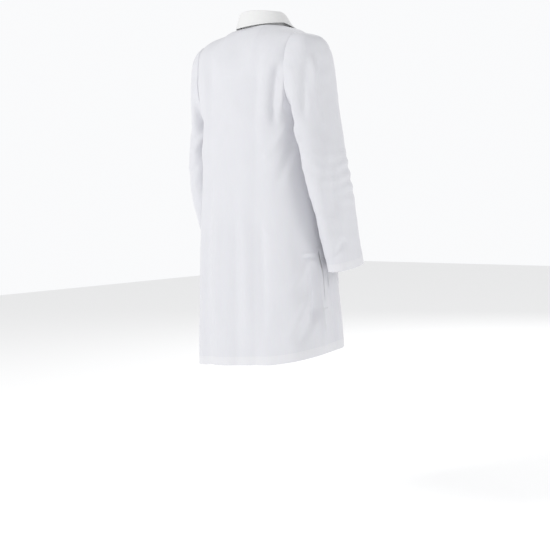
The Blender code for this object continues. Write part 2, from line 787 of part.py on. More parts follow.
def hole_cutters():
    cutters = []
    for number, (x, y) in enumerate(hole_places()):
        bm = bmesh.new()
        bmesh.ops.create_cone(bm, cap_ends=True, segments=8, radius1=BUTTON_HOLE_RADIUS, radius2=BUTTON_HOLE_RADIUS,
                              depth=0.02, matrix=Matrix.Translation((x, y, 0.0)))
        cutters.append(place(mesh_object(f"thread_hole_{number}", bm), CUTTERS))
    return cutters


def buttons(side, button_material, thread_material):
    """Buttons down the wearer's right front edge, each with its own thread."""
    blank = place(mesh_object("button_blank", button_mesh()), CUTTERS)
    button_shape = combined("button", blank, hole_cutters(), 'DIFFERENCE')
    pieces = [box_object(f"thread_{i}", spec, CUTTERS) for i, spec in enumerate(stay_boxes())]
    thread_shape = combined("button_thread", pieces[0], pieces[1:], 'UNION')
    made = []
    for number, z in enumerate(button_heights(), 1):
        matrix = flap_place(side, z, BUTTON_FROM_EDGE) @ Matrix.Translation((0.0, 0.0, SHANK + 0.0005))
        for name, shape, material in (("button", button_shape, button_material),
                                      ("button_thread", thread_shape, thread_material)):
            obj = place(bpy.data.objects.new(f"{name}_{number}", shape))
            if not shape.materials:
                shape.materials.append(material)
            obj.matrix_world = matrix
            made.append(obj)
    return made


# ---- the coat -------------------------------------------------------------------------------------------------------


def build():
    cloth = finish("white_poly_cotton", WHITE_CLOTH, 0.85)
    collar_cloth = finish("white_collar_cloth", COLLAR_CLOTH, 0.85)
    button_finish = finish("pearl_button", (0.80, 0.79, 0.76), 0.35)
    thread = finish("white_thread", (0.85, 0.85, 0.84), 0.8)
    label = finish("white_label_satin", (0.78, 0.79, 0.82), 0.5)

    back_panel(cloth)
    back_neck_facing(cloth)
    size_label(label)
    hanger_loop(cloth)
    under_collar(collar_cloth)
    upper_collar(collar_cloth)
    chest_pocket(cloth)
    for side in (-1.0, 1.0):
        front_panel(side, cloth)
        lapel(side, collar_cloth)
        lower_pocket(side, cloth)
        side_opening_facing(side, cloth)

        name = side_name(side)
        upper, lower = sleeve_upper(side, cloth), sleeve_lower(side, cloth)
        cuff = cuff_facing(side, cloth)
        shoulder = joint_empty(name + "_shoulder", on_side(SHOULDER_CENTRE, side), Vector((0.0, 1.0, 0.0)))
        elbow = joint_empty(name + "_elbow", on_side(ELBOW_CENTRE, side), Vector((1.0, 0.0, 0.0)))
        hang_on([upper, elbow], shoulder)
        hang_on([lower, cuff], elbow)

        strip, facing = front_edge(side, cloth), front_facing(side, cloth)
        foot, head = (hung(on_side(section(FLAP_ANGLE, z), side)) for z in (HEM_Z, BREAK_Z))
        swing = joint_empty(name + "_front_edge_swing", head, (head - foot).normalized())
        pieces = [strip, facing]
        if side > 0.0:
            cut_buttonholes(strip, side)
            cut_buttonholes(facing, side)
        else:
            pieces += buttons(side, button_finish, thread)
        hang_on(pieces, swing)


build()
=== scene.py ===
"""The finished laboratory coat: thin white poly-cotton, worn open, with its seams, stitching, folds and trims.

Metres, +Z up, the front faces -Y, the wearer's left is +X (side = 1).  The cloth is laid over the same body
sections as the frame's shells; soft folds, hems and seam ridges are then worked into each piece along its own
surface.
"""

import json
import math

import bmesh
import bpy
import numpy as np
from mathutils import Matrix, Vector, noise
from mathutils.bvhtree import BVHTree


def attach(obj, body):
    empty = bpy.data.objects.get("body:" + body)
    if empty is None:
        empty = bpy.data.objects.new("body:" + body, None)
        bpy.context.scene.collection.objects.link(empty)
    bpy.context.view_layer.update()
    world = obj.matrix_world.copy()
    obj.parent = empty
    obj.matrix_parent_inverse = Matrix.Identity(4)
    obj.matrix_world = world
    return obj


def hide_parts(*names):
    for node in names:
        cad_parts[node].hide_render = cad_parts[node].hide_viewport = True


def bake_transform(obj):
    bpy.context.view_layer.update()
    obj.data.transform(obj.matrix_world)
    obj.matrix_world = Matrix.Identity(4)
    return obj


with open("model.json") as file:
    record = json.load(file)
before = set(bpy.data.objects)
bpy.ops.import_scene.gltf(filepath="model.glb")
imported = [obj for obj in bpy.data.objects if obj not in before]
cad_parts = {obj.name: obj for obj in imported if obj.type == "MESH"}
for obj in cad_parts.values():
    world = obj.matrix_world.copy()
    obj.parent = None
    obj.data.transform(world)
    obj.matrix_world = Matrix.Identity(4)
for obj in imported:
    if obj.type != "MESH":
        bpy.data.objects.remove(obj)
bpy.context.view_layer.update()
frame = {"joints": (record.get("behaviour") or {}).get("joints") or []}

# ---- sizes read from the frame, and the coat's own cut ----

JOINTS = {joint["name"]: joint for joint in frame["joints"]}
ELBOW = Vector([abs(v) if i == 0 else v for i, v in enumerate(JOINTS["left_elbow_bend"]["pos_m"])])

SIDES = (-1.0, 1.0)
CLOTH = 0.0007          # one layer of shirting-weight cloth with a little air in it
HEM_Z = -1.005
UNDERARM_Z = -0.30
CHEST_Z = -0.165
SECTION_POWER = 2.5
BREAK_Z, BREAK_X, FRONT_EDGE_X = -0.34, 0.055, 0.095
NECK_HALF_WIDTH, NECK_DEPTH = 0.078, 0.062
SHOULDER_TIP = np.array((0.213, 0.020, -0.047))
NECK_SHARE = 0.35
ARMHOLE_ANGLE = 59.0
HEM_SIDE_LEAN, HEM_FRONT_RISE = 0.080, 0.110
SET_BACK = 0.024        # the shoulders, sides and sleeves sit this far behind the middle of the neck
LEFT_SHOULDER_OUT, LEFT_SHOULDER_UP = 0.005, 0.013
LAYER = 0.0010          # room between two layers sewn together
HEM_GAP = CLOTH + 0.0006    # from the outside of the cloth to the turned-up layer behind it
LAPEL_WIDTH = 0.060
COLLAR_STAND = 0.043
BUTTON_HEIGHTS = [-0.385 - i * 0.105 for i in range(5)]
BUTTON_FROM_EDGE, BUTTON_RADIUS, BUTTON_THICKNESS, SHANK = 0.020, 0.0095, 0.0028, 0.0022
POCKET_TOP_Z, POCKET_BOTTOM_Z = -0.620, -0.810
POCKET_ANGLES, POCKET_GAPE = (98.0, 141.0), 0.012
CHEST_POCKET_X, CHEST_POCKET_HALF_WIDTH = 0.143, 0.044
CHEST_POCKET_TOP_Z, CHEST_POCKET_BOTTOM_Z = -0.205, -0.325
CHEST_POCKET_GAPE = 0.009
SLIT_TOP_Z, SLIT_BOTTOM_Z, SLIT_OPEN = -0.695, -0.865, 0.008
SLIT_FACING_ANGLES, SLIT_FACING_PAST = (85.5, 97.0), 0.012
#                height, half width, depth behind, depth in front
BODY_STATIONS = np.array(((HEM_Z - 0.1, 0.268, 0.189, 0.150),
                          (HEM_Z, 0.262, 0.188, 0.150),
                          (-0.80, 0.246, 0.178, 0.150),
                          (-0.60, 0.229, 0.167, 0.150),
                          (-0.42, 0.214, 0.159, 0.151),
                          (UNDERARM_Z, 0.208, 0.152, 0.149),
                          (CHEST_Z, 0.230, 0.134, 0.132),
                          (CHEST_Z + 0.1, 0.240, 0.115, 0.11)))


def lerp(a, b, t):
    return a + (b - a) * t


def smooth(t):
    t = np.clip(t, 0.0, 1.0)
    return t * t * (3.0 - 2.0 * t)


def catmull(table, t):
    """Smooth reading of a table of rows at a row number t, where rows may be numbers or points."""
    table = np.asarray(table, float)
    last = len(table) - 1
    i = int(min(max(math.floor(t), 0), last - 1))
    f = min(max(t - i, 0.0), 1.0)
    p0, p1, p2, p3 = table[max(i - 1, 0)], table[i], table[i + 1], table[min(i + 2, last)]
    return 0.5 * (2.0 * p1 + (p2 - p0) * f + (2.0 * p0 - 5.0 * p1 + 4.0 * p2 - p3) * f * f
                  + (3.0 * p1 - p0 - 3.0 * p2 + p3) * f ** 3)


def body_sizes(z):
    heights = BODY_STATIONS[:, 0]
    i = int(np.clip(np.searchsorted(heights, z) - 1, 0, len(heights) - 2))
    t = i + (z - heights[i]) / (heights[i + 1] - heights[i])
    return catmull(BODY_STATIONS[:, 1:], t)


def section(angle, z):
    """Body section: angle runs from centre back (0) round the side (90) to centre front (180)."""
    half_width, behind, front = body_sizes(z)
    turn = math.radians(angle)
    power = 2.0 / SECTION_POWER
    share = (1.0 - math.cos(turn)) / 2.0
    depth = lerp(behind, front, smooth((share - 0.2) / 0.6))
    return np.array((half_width * abs(math.sin(turn)) ** power,
                     math.copysign(depth * abs(math.cos(turn)) ** power, math.cos(turn)), z))


def angle_at(x, z):
    half_width = body_sizes(z)[0]
    return 180.0 - math.degrees(math.asin(min(1.0, (x / half_width) ** (SECTION_POWER / 2.0))))


def armhole_angle(z):
    """Side seam at 90 degrees; above the underarm the armhole seam cuts in with a rounded scye."""
    share = min(max((z - UNDERARM_Z) / (CHEST_Z - UNDERARM_Z), 0.0), 1.0)
    return 90.0 - (90.0 - ARMHOLE_ANGLE) * math.sin(share * math.pi / 2.0) ** 0.8


def rounded(chest, top, squareness, t):
    """Quarter arc over the shoulder from upright at chest height to level at the top line."""
    turn = t * math.pi / 2.0
    power = 2.0 / squareness
    level, rise = math.cos(turn) ** power, math.sin(turn) ** power
    return np.array((lerp(chest[0], top[0], smooth(t)), top[1] + (chest[1] - top[1]) * level,
                     chest[2] + (top[2] - chest[2]) * rise))


def back_top(s):
    if s < NECK_SHARE:
        turn = s / NECK_SHARE * math.pi / 2.0
        return np.array((NECK_HALF_WIDTH * math.sin(turn), NECK_DEPTH * math.cos(turn), 0.0))
    return lerp(np.array((NECK_HALF_WIDTH, 0.0, 0.0)), SHOULDER_TIP, (s - NECK_SHARE) / (1.0 - NECK_SHARE))


def back_point(s, z, t):
    if t <= 0.0:
        return section(armhole_angle(z) * s, z)
    squareness = lerp(1.5, 2.7, smooth(s / NECK_SHARE))
    return rounded(section(ARMHOLE_ANGLE * s, CHEST_Z), back_top(s), squareness, t)


def roll_line(z):
    return lerp(BREAK_X, NECK_HALF_WIDTH, (z - BREAK_Z) / -BREAK_Z)


def edge_x(z):
    return lerp(FRONT_EDGE_X, BREAK_X, (z - HEM_Z) / (BREAK_Z - HEM_Z)) if z < BREAK_Z else roll_line(z)


def front_point(s, z, t):
    """Front: s runs from the front edge or roll line (0) to the side seam or armhole (1)."""
    if t <= 0.0:
        return section(lerp(angle_at(edge_x(z), z), 180.0 - armhole_angle(z), s), z)
    chest = section(lerp(angle_at(roll_line(CHEST_Z), CHEST_Z), 180.0 - ARMHOLE_ANGLE, s), CHEST_Z)
    top = lerp(np.array((NECK_HALF_WIDTH, 0.0, 0.0)), SHOULDER_TIP, s)
    return rounded(chest, top, lerp(1.5, 2.7, smooth(s * 3.0)), t)


# Control heights of every panel: upright rows by height, then the rows over the shoulder by share of the arc.
LOWER_ROWS = [HEM_Z, -0.93, -0.84, -0.75, -0.66, -0.57, -0.48, -0.39, UNDERARM_Z, -0.255, -0.21, CHEST_Z]
UPPER_ROWS = [0.14, 0.28, 0.42, 0.56, 0.70, 0.84, 1.0]


def panel(point, shares, rows):
    """Fine grid of a panel: control rows are made first, then read smoothly between."""
    places = [(z, 0.0) for z in LOWER_ROWS] + [(CHEST_Z, t) for t in UPPER_ROWS]
    control = np.array([[point(s, z, t) for s in shares] for z, t in places])
    return np.array([catmull(control, v * (len(places) - 1)) for v in np.linspace(0.0, 1.0, rows)])


def set_back(grid):
    return SET_BACK * smooth((np.abs(grid[..., 0]) - 0.10) / 0.09)


def hang(grid):
    """Sets the sides back, raises the left shoulder, and tips the hem to the left and up to the front."""
    grid = grid.copy()
    grid[..., 1] += set_back(grid)
    drop = -HEM_SIDE_LEAN * grid[..., 0] - HEM_FRONT_RISE * (grid[..., 1] - 0.02)
    share = smooth((UNDERARM_Z - grid[..., 2]) / (UNDERARM_Z - HEM_Z))
    raised = smooth((grid[..., 0] - 0.05) / 0.14) * smooth((grid[..., 2] + 0.28) / 0.20)
    result = grid.copy()
    result[..., 0] += LEFT_SHOULDER_OUT * raised
    result[..., 2] += drop * share + LEFT_SHOULDER_UP * raised
    return result


def flip(grid, side):
    result = grid.copy()
    result[..., 0] *= side
    return result


# ---- working on grids of points ----


def unit(vectors):
    return vectors / np.maximum(np.linalg.norm(vectors, axis=-1, keepdims=True), 1e-12)


def steps(grid, axis):
    """Distances between neighbouring points along one axis of a grid."""
    return np.linalg.norm(np.diff(grid, axis=axis), axis=-1)


def grid_normals(grid, outward, closed=False):
    """Unit normals, turned to agree with the outward directions."""
    around = np.roll(grid, -1, axis=1) - np.roll(grid, 1, axis=1)
    normal = unit(np.cross(around if closed else np.gradient(grid, axis=1), np.gradient(grid, axis=0)))
    return -normal if np.median(np.sum(normal * outward, axis=-1)) < 0.0 else normal


def from_axis(grid):
    result = grid.copy()
    result[..., 2] = 0.0
    return result


def lifted(grid, height, outward=None, closed=False):
    normal = grid_normals(grid, from_axis(grid) if outward is None else outward, closed)
    height = np.asarray(height)
    return grid + normal * (height[..., None] if height.ndim else height)


def noise_field(grid, scale, seed):
    """Smooth noise at each point, for slack and unevenness of the cloth."""
    flat = grid.reshape(-1, 3)
    offset = np.array((seed * 7.3, seed * -3.1, seed * 5.7))
    values = [noise.noise(Vector(p * scale + offset)) for p in flat]
    return np.array(values).reshape(grid.shape[:-1])


def fold_line(grid, points, width, height):
    """Ridge (or groove, below zero) along a line of points, fading at both its ends."""
    best = np.full(grid.shape[:-1], 1e9)
    place = np.zeros(grid.shape[:-1])
    lengths = [np.linalg.norm(b - a) for a, b in zip(points, points[1:])]
    total, run = sum(lengths), 0.0
    for a, b, length in zip(points, points[1:], lengths):
        t = np.clip(np.sum((grid - a) * (b - a), axis=-1) / length ** 2, 0.0, 1.0)
        distance = np.linalg.norm(grid - (a + t[..., None] * (b - a)), axis=-1)
        nearer = distance < best
        best = np.where(nearer, distance, best)
        place = np.where(nearer, (run + t * length) / total, place)
        run += length
    ends = np.clip(np.minimum(place, 1.0 - place) * 4.0, 0.0, 1.0)
    return height * smooth(ends) * np.exp(-(best / width) ** 2.0)


# ---- materials ----


def node(tree, kind, **inputs):
    made = tree.nodes.new(kind)
    for name, value in inputs.items():
        key = name.replace("_", " ")
        if isinstance(value, bpy.types.NodeSocket):
            tree.links.new(value, made.inputs[key])
        else:
            made.inputs[key].default_value = value
    return made


def blank_finish(name, **values):
    """A new material with these values set on its shader's own sockets."""
    material = bpy.data.materials.new(name)
    material.use_nodes = True
    shader = material.node_tree.nodes["Principled BSDF"]
    for key, value in values.items():
        shader.inputs[key.replace("_", " ")].default_value = value
    return material, material.node_tree, shader


def blended(tree, share, shade, colour):
    """The shade turning into the colour as the share rises."""
    mixed = node(tree, "ShaderNodeMix", Factor=share)
    mixed.data_type = 'RGBA'
    mixed.inputs[6].default_value = (*shade, 1.0)
    mixed.inputs[7].default_value = (*colour, 1.0)
    return mixed.outputs[2]


def relieved(tree, shader, strength, height):
    relief = node(tree, "ShaderNodeBump", Strength=strength, Distance=RELIEF_DEPTH, Height=height)
    tree.links.new(relief.outputs["Normal"], shader.inputs["Normal"])


THREADS_PER_METRE = 2400.0
RELIEF_DEPTH = 0.0002


def plain_weave(name, colour, shade, bump=0.18, roughness=0.82, sheen=0.25):
    """Fine plain weave: warp and weft threads, slubs along the warp, and faint unevenness of whiteness."""
    material, tree, shader = blank_finish(name, Roughness=roughness, Sheen_Weight=sheen, Sheen_Roughness=0.5)
    uv = node(tree, "ShaderNodeUVMap")
    uv.uv_map = "cloth"
    heights = []
    for turn in (0.0, math.pi / 2.0):
        mapping = node(tree, "ShaderNodeMapping", Vector=uv.outputs["UV"], Rotation=(0.0, 0.0, turn))
        wave = node(tree, "ShaderNodeTexWave", Vector=mapping.outputs["Vector"], Scale=THREADS_PER_METRE / 6.2832,
                    Distortion=1.2, Detail=1.0, Detail_Scale=0.6)
        heights.append(wave.outputs["Fac"])
    weave = node(tree, "ShaderNodeMath")
    weave.operation = 'MULTIPLY'
    for socket, height in zip(weave.inputs, heights):
        tree.links.new(height, socket)
    stretch = node(tree, "ShaderNodeMapping", Vector=uv.outputs["UV"], Scale=(420.0, 26.0, 1.0))
    slub = node(tree, "ShaderNodeTexNoise", Vector=stretch.outputs["Vector"], Scale=1.0, Detail=3.0, Roughness=0.6)
    cloud = node(tree, "ShaderNodeTexNoise", Vector=uv.outputs["UV"], Scale=9.0, Detail=4.0, Roughness=0.55)
    thread = node(tree, "ShaderNodeMix")
    thread.data_type = 'RGBA'
    thread.blend_type = 'MULTIPLY'
    thread.inputs[0].default_value = 0.06
    tree.links.new(blended(tree, cloud.outputs["Fac"], shade, colour), thread.inputs[6])
    tree.links.new(slub.outputs["Color"], thread.inputs[7])
    tree.links.new(thread.outputs[2], shader.inputs["Base Color"])
    add = node(tree, "ShaderNodeMath")
    add.operation = 'MULTIPLY_ADD'
    tree.links.new(slub.outputs["Fac"], add.inputs[0])
    add.inputs[1].default_value = 0.8
    tree.links.new(weave.outputs[0], add.inputs[2])
    relieved(tree, shader, bump, add.outputs[0])
    return material


def smooth_finish(name, colour, roughness, grain, coat=0.0):
    """Moulded or spun finish with a fine grain in object space."""
    material, tree, shader = blank_finish(name, Roughness=roughness, Coat_Weight=coat)
    place = node(tree, "ShaderNodeTexCoord")
    cloud = node(tree, "ShaderNodeTexNoise", Vector=place.outputs["Object"], Scale=grain, Detail=3.0)
    worn = [c * 0.9 for c in colour]
    tree.links.new(blended(tree, cloud.outputs["Fac"], worn, colour), shader.inputs["Base Color"])
    relieved(tree, shader, 0.05, cloud.outputs["Fac"])
    return material


COAT_CLOTH = plain_weave("coat_poly_cotton", (0.80, 0.80, 0.835), (0.76, 0.765, 0.80))
# Collar and lapel cloth: sewn in layers, and painted lighter still than the doubled cloth as painted light for the
# light falling on the collar's upturned top.
COLLAR_CLOTH_PAINTED_LIGHT = plain_weave("collar_poly_cotton_painted_light", (0.89, 0.89, 0.885), (0.86, 0.86, 0.855))
DOUBLED_CLOTH = plain_weave("doubled_poly_cotton", (0.84, 0.84, 0.865), (0.80, 0.80, 0.83))
FACING_CLOTH = plain_weave("facing_poly_cotton", (0.82, 0.815, 0.82), (0.78, 0.775, 0.78))
LABEL_SATIN = plain_weave("label_satin", (0.70, 0.72, 0.76), (0.66, 0.68, 0.72),
                          bump=0.08, roughness=0.45, sheen=0.4)
THREAD = smooth_finish("sewing_thread", (0.80, 0.80, 0.82), 0.75, 2500.0)
PEARL = smooth_finish("pearl_button", (0.78, 0.77, 0.74), 0.28, 160.0, coat=0.5)

# ---- turning grids into cloth ----


def linked(name, data):
    obj = bpy.data.objects.new(name, data)
    bpy.context.scene.collection.objects.link(obj)
    return obj


def plain_mesh(obj):
    """The evaluated object as a plain mesh in its own place, with no modifier left."""
    bpy.context.view_layer.update()
    finished = obj.evaluated_get(bpy.context.evaluated_depsgraph_get())
    mesh = bpy.data.meshes.new_from_object(finished)
    mesh.name = obj.name
    obj.modifiers.clear()
    obj.data = mesh
    return mesh


def cloth(name, grid, materials, outward, thickness, closed, doubled):
    """A cloth piece from a grid of points, with a flat-pattern UV map in metres, thickened inwards.

    doubled marks the faces that are sewn double, which show whiter because less light passes through.
    """
    rows, columns = grid.shape[:2]
    u = np.concatenate(([0.0], np.cumsum(steps(grid, 1).mean(axis=0))))
    v = np.concatenate(([0.0], np.cumsum(steps(grid, 0).mean(axis=1))))
    if closed:
        u = np.append(u, u[-1] + np.linalg.norm(grid[:, 0] - grid[:, -1], axis=-1).mean())
    i, j = (index.ravel() for index in np.mgrid[0:rows - 1, 0:len(u) - 1])
    k = (j + 1) % columns
    low, high = i * columns, (i + 1) * columns
    faces = np.stack((low + j, low + k, high + k, high + j), axis=1)
    texture = np.stack([np.stack((u[a], v[b]), 1) for a, b in ((j, i), (j + 1, i), (j + 1, i + 1), (j, i + 1))],
                       axis=1)
    mesh = bpy.data.meshes.new(name)
    mesh.from_pydata(grid.reshape(-1, 3).tolist(), [], faces.tolist())
    layer = mesh.uv_layers.new(name="cloth")
    layer.data.foreach_set("uv", texture.astype(np.float32).ravel())
    for material in materials:
        mesh.materials.append(material)
    if doubled is not None:
        mesh.polygons.foreach_set("material_index", doubled[i, j].astype(np.int32))
    mesh.update()
    normals = grid_normals(grid, outward, closed)
    middle = (rows // 2) * columns + columns // 2
    if mesh.vertices[middle].normal.dot(Vector(normals[rows // 2, columns // 2])) < 0.0:
        mesh.flip_normals()
    mesh.shade_smooth()
    obj = linked(name, mesh)
    solid = obj.modifiers.new("cloth_thickness", 'SOLIDIFY')
    solid.thickness = thickness
    solid.offset = -1.0
    plain_mesh(obj).set_sharp_from_angle(angle=math.radians(50.0))
    return obj


def declare(grid, closed):
    """Closes a closed piece's grid round on itself, and does nothing more with it."""
    if closed:
        grid = np.concatenate((grid, grid[:, :1]), axis=1)


def side_name(side):
    return "left" if side > 0 else "right"


def settle(obj, replaced, rides):
    """Hides the shells the piece stands for, and puts it on its body; a piece given a turn between two bodies is
    only baked in place.
    """
    if replaced:
        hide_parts(*replaced)
    if isinstance(rides, str):
        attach(obj, rides)
    else:
        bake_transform(obj)


def sheet(name, grid, outward, replaced, rides, materials=None,
          thickness=CLOTH, closed=False, doubled=None):
    """A sheet of the coat: made from its grid and settled."""
    obj = cloth(name, grid, materials or [COAT_CLOTH, DOUBLED_CLOTH], outward, thickness, closed, doubled)
    declare(grid, closed)
    settle(obj, replaced, rides)


FRONT_BEND_START, FRONT_BEND_WIDTH = (0.112, -0.14, -0.67), 0.068
UNDERARM_X, SHOULDER_BEND_WIDTH = 0.2105, 0.072
ELBOW_BEND_ABOVE, ELBOW_BEND_BELOW = 0.012, 0.075


def front_bend(side):
    """The slanting line, from the lapel break to the hem beside the pocket, on which the free front would turn."""
    start = Vector(FRONT_BEND_START)
    end = start + Vector((-1.0, 0.0, -0.18)).normalized() * FRONT_BEND_WIDTH
    return ("coat_body", side_name(side) + "_front_edge",
            (start.x * side, start.y, start.z), (end.x * side, end.y, end.z))


def shoulder_bend(side):
    """The span from a slanting plane through the underarm to one above the elbow, over which a raised arm would
    turn the sleeve.
    """
    start = Vector((UNDERARM_X, 0.0, UNDERARM_Z))
    end = start + Vector((0.8, 0.0, -0.6)) * SHOULDER_BEND_WIDTH
    return ("coat_body", side_name(side) + "_upper_sleeve",
            (start.x * side, 0.0, start.z), (end.x * side, 0.0, end.z))


def elbow_bend(side):
    name = side_name(side)
    return (name + "_upper_sleeve", name + "_lower_sleeve",
            (ELBOW.x * side, ELBOW.y, ELBOW.z + ELBOW_BEND_ABOVE),
            (ELBOW.x * side, ELBOW.y, ELBOW.z - ELBOW_BEND_BELOW))


def turned_hem(grid, outward, rows, closed=False):
    """Puts a turned-up hem in front of the grid's first row: up inside, round the fold, then the grid itself."""
    behind = grid_normals(grid, outward, closed) * HEM_GAP
    drop = unit(grid[:1] - grid[1:2]) * HEM_GAP
    fold = np.concatenate((grid[:1] - behind[:1], grid[:1] - behind[:1] * 0.5 + drop * 0.5))
    return np.concatenate(((grid - behind)[rows:0:-1], fold, grid))


def net_of(*grids):
    """A search tree over the faces of some grids, for laying trims on them."""
    vertices, faces = [], []
    for grid in grids:
        rows, columns = grid.shape[:2]
        base = len(vertices)
        vertices.extend(grid.reshape(-1, 3).tolist())
        i, j = (index.ravel() for index in np.mgrid[0:rows - 1, 0:columns - 1])
        low, high = base + i * columns + j, base + (i + 1) * columns + j
        faces.extend(np.stack((low, low + 1, high + 1, high), axis=1).tolist())
    return BVHTree.FromPolygons(vertices, faces)


def laid(net, points, lift):
    """The points brought to the nearest place on the cloth and raised from it (below zero: to its inside)."""
    lifts = np.broadcast_to(lift, points.shape[:-1]).ravel()
    result = []
    for point, height in zip(points.reshape(-1, 3), lifts):
        place, normal, _, _ = net.find_nearest(Vector(point))
        if normal.dot(Vector((point[0], point[1], point[2] + 0.35 if point[2] > -0.2 else 0.0))) < 0.0:
            normal = -normal
        result.append(place + normal * height)
    return np.array(result).reshape(points.shape)


def evened(grid, times=2):
    """Takes small unevenness out of the inside of a grid."""
    for _ in range(times):
        inner = (grid[:-2, 1:-1] + grid[2:, 1:-1] + grid[1:-1, :-2] + grid[1:-1, 2:]) / 4.0
        grid[1:-1, 1:-1] = lerp(grid[1:-1, 1:-1], inner, 0.5)
    return grid


# ---- stitching ----

STITCH_PITCH, STITCH_LENGTH, STITCH_THICKNESS = 0.0032, 0.0026, 0.00045
TACK_LIFT = 0.0003
RUNS = {}               # name of a run of stitching: its lines of points and the way each stitch lies


def line_on(grid, rows, columns, outward, lift=0.0001):
    """Points of a line over a piece, by row and column numbers that may fall between, with the normals."""
    rows, columns = np.broadcast_arrays(np.asarray(rows, float), np.asarray(columns, float))
    normal = grid_normals(grid, outward)
    i = np.clip(np.floor(rows).astype(int), 0, grid.shape[0] - 2)
    j = np.clip(np.floor(columns).astype(int), 0, grid.shape[1] - 2)
    a, b = (rows - i)[:, None], (columns - j)[:, None]
    read = []
    for values in (grid, normal):
        read.append((values[i, j] * (1 - a) + values[i + 1, j] * a) * (1 - b)
                    + (values[i, j + 1] * (1 - a) + values[i + 1, j + 1] * a) * b)
    return read[0] + read[1] * lift, read[1]


def stitched(run, line, across=False):
    """Adds a line to a run of stitching; across lays the stitches over the line, as in a bartack."""
    points, normals = line
    way = np.gradient(points, axis=0)
    RUNS.setdefault(run, []).append((points, unit(np.cross(way, normals) if across else way)))


def stitch_tree():
    """Lays one spindle of thread at every pitch along the lines, pointing the way that their points carry."""
    tree = bpy.data.node_groups.new("stitch_run", 'GeometryNodeTree')
    tree.interface.new_socket(name="Lines", in_out='INPUT', socket_type='NodeSocketGeometry')
    for name in ("Pitch", "Length", "Thickness"):
        tree.interface.new_socket(name=name, in_out='INPUT', socket_type='NodeSocketFloat')
    tree.interface.new_socket(name="Thread", in_out='INPUT', socket_type='NodeSocketMaterial')
    tree.interface.new_socket(name="Stitches", in_out='OUTPUT', socket_type='NodeSocketGeometry')
    given = tree.nodes.new('NodeGroupInput')
    curve = tree.nodes.new('GeometryNodeMeshToCurve')
    spaced = tree.nodes.new('GeometryNodeResampleCurve')
    spaced.mode = 'LENGTH'
    way = tree.nodes.new('GeometryNodeInputNamedAttribute')
    way.data_type = 'FLOAT_VECTOR'
    way.inputs["Name"].default_value = "thread_way"
    turn = tree.nodes.new('FunctionNodeAlignRotationToVector')
    turn.axis = 'Z'
    spindle = tree.nodes.new('GeometryNodeMeshUVSphere')
    spindle.inputs["Segments"].default_value = 6
    spindle.inputs["Rings"].default_value = 4
    spindle.inputs["Radius"].default_value = 0.5
    size = tree.nodes.new('ShaderNodeCombineXYZ')
    shaped = tree.nodes.new('GeometryNodeTransform')
    placed = tree.nodes.new('GeometryNodeInstanceOnPoints')
    real = tree.nodes.new('GeometryNodeRealizeInstances')
    finish = tree.nodes.new('GeometryNodeSetMaterial')
    smoothed = tree.nodes.new('GeometryNodeSetShadeSmooth')
    out = tree.nodes.new('NodeGroupOutput')
    for source, output, target, socket in (
            (given, "Lines", curve, "Mesh"), (curve, "Curve", spaced, "Curve"), (given, "Pitch", spaced, "Length"),
            (way, "Attribute", turn, "Vector"), (given, "Thickness", size, "X"), (given, "Thickness", size, "Y"),
            (given, "Length", size, "Z"), (spindle, "Mesh", shaped, "Geometry"), (size, "Vector", shaped, "Scale"),
            (spaced, "Curve", placed, "Points"), (shaped, "Geometry", placed, "Instance"),
            (turn, "Rotation", placed, "Rotation"), (placed, "Instances", smoothed, "Geometry"),
            (smoothed, "Geometry", real, "Geometry"), (real, "Geometry", finish, "Geometry"),
            (given, "Thread", finish, "Material"), (finish, "Geometry", out, "Stitches")):
        tree.links.new(source.outputs[output], target.inputs[socket])
    return tree


def sew(run, tree, rides, pitch=STITCH_PITCH, length=STITCH_LENGTH, thickness=STITCH_THICKNESS):
    vertices, edges, ways = [], [], []
    for points, way in RUNS[run]:
        base = len(vertices)
        vertices.extend(points.tolist())
        edges.extend((base + i, base + i + 1) for i in range(len(points) - 1))
        ways.extend(way.tolist())
    mesh = bpy.data.meshes.new(run)
    mesh.from_pydata(vertices, edges, [])
    carried = mesh.attributes.new("thread_way", 'FLOAT_VECTOR', 'POINT')
    carried.data.foreach_set("vector", np.array(ways).ravel())
    obj = linked(run, mesh)
    modifier = obj.modifiers.new("stitches", 'NODES')
    modifier.node_group = tree
    values = {"Pitch": pitch, "Length": length, "Thickness": thickness, "Thread": THREAD}
    for item in tree.interface.items_tree:
        if item.in_out == 'INPUT' and item.name in values:
            modifier[item.identifier] = values[item.name]
    plain_mesh(obj)
    settle(obj, (), rides)


# ---- folds of the cloth ----


MM = 0.001
SLACK, CRUMPLE = 0.0034, 0.0013
FOLD_STRENGTH = 1.35
# Each row of upright folds: height, how many go round, turn in degrees, and degrees of lean for each metre up.
UPRIGHT_WAVES = ((0.0036, 5.0, 20.0, 14.0), (0.0024, 9.0, -60.0, -25.0), (0.0010, 17.0, 45.0, 0.0))


def drape(grid):
    """Height of the soft upright folds of the body: slight at the chest, fuller towards the hem."""
    angle = np.degrees(np.arctan2(grid[..., 0], grid[..., 1]))
    depth = smooth((UNDERARM_Z + 0.05 - grid[..., 2]) / 0.65)
    waves = sum(height * np.sin(np.radians(angle * count + turn + lean * grid[..., 2]))
                for height, count, turn, lean in UPRIGHT_WAVES)
    slack = SLACK * noise_field(grid * np.array((1.0, 1.0, 0.35)), 9.0, 1.0)
    crumple = CRUMPLE * noise_field(grid * np.array((1.0, 1.0, 0.6)), 28.0, 2.0)
    out = np.abs(grid[..., 0])
    seam = SHOULDER_TIP[1] * (out - NECK_HALF_WIDTH) / (SHOULDER_TIP[0] - NECK_HALF_WIDTH)
    seam = np.maximum(seam, 0.0) + set_back(grid)
    shoulder = np.where(grid[..., 2] > -0.16, smooth(np.abs(grid[..., 1] - seam) / 0.035), 1.0)
    return (waves * depth + slack * lerp(0.5, 1.0, depth) + crumple) * shoulder


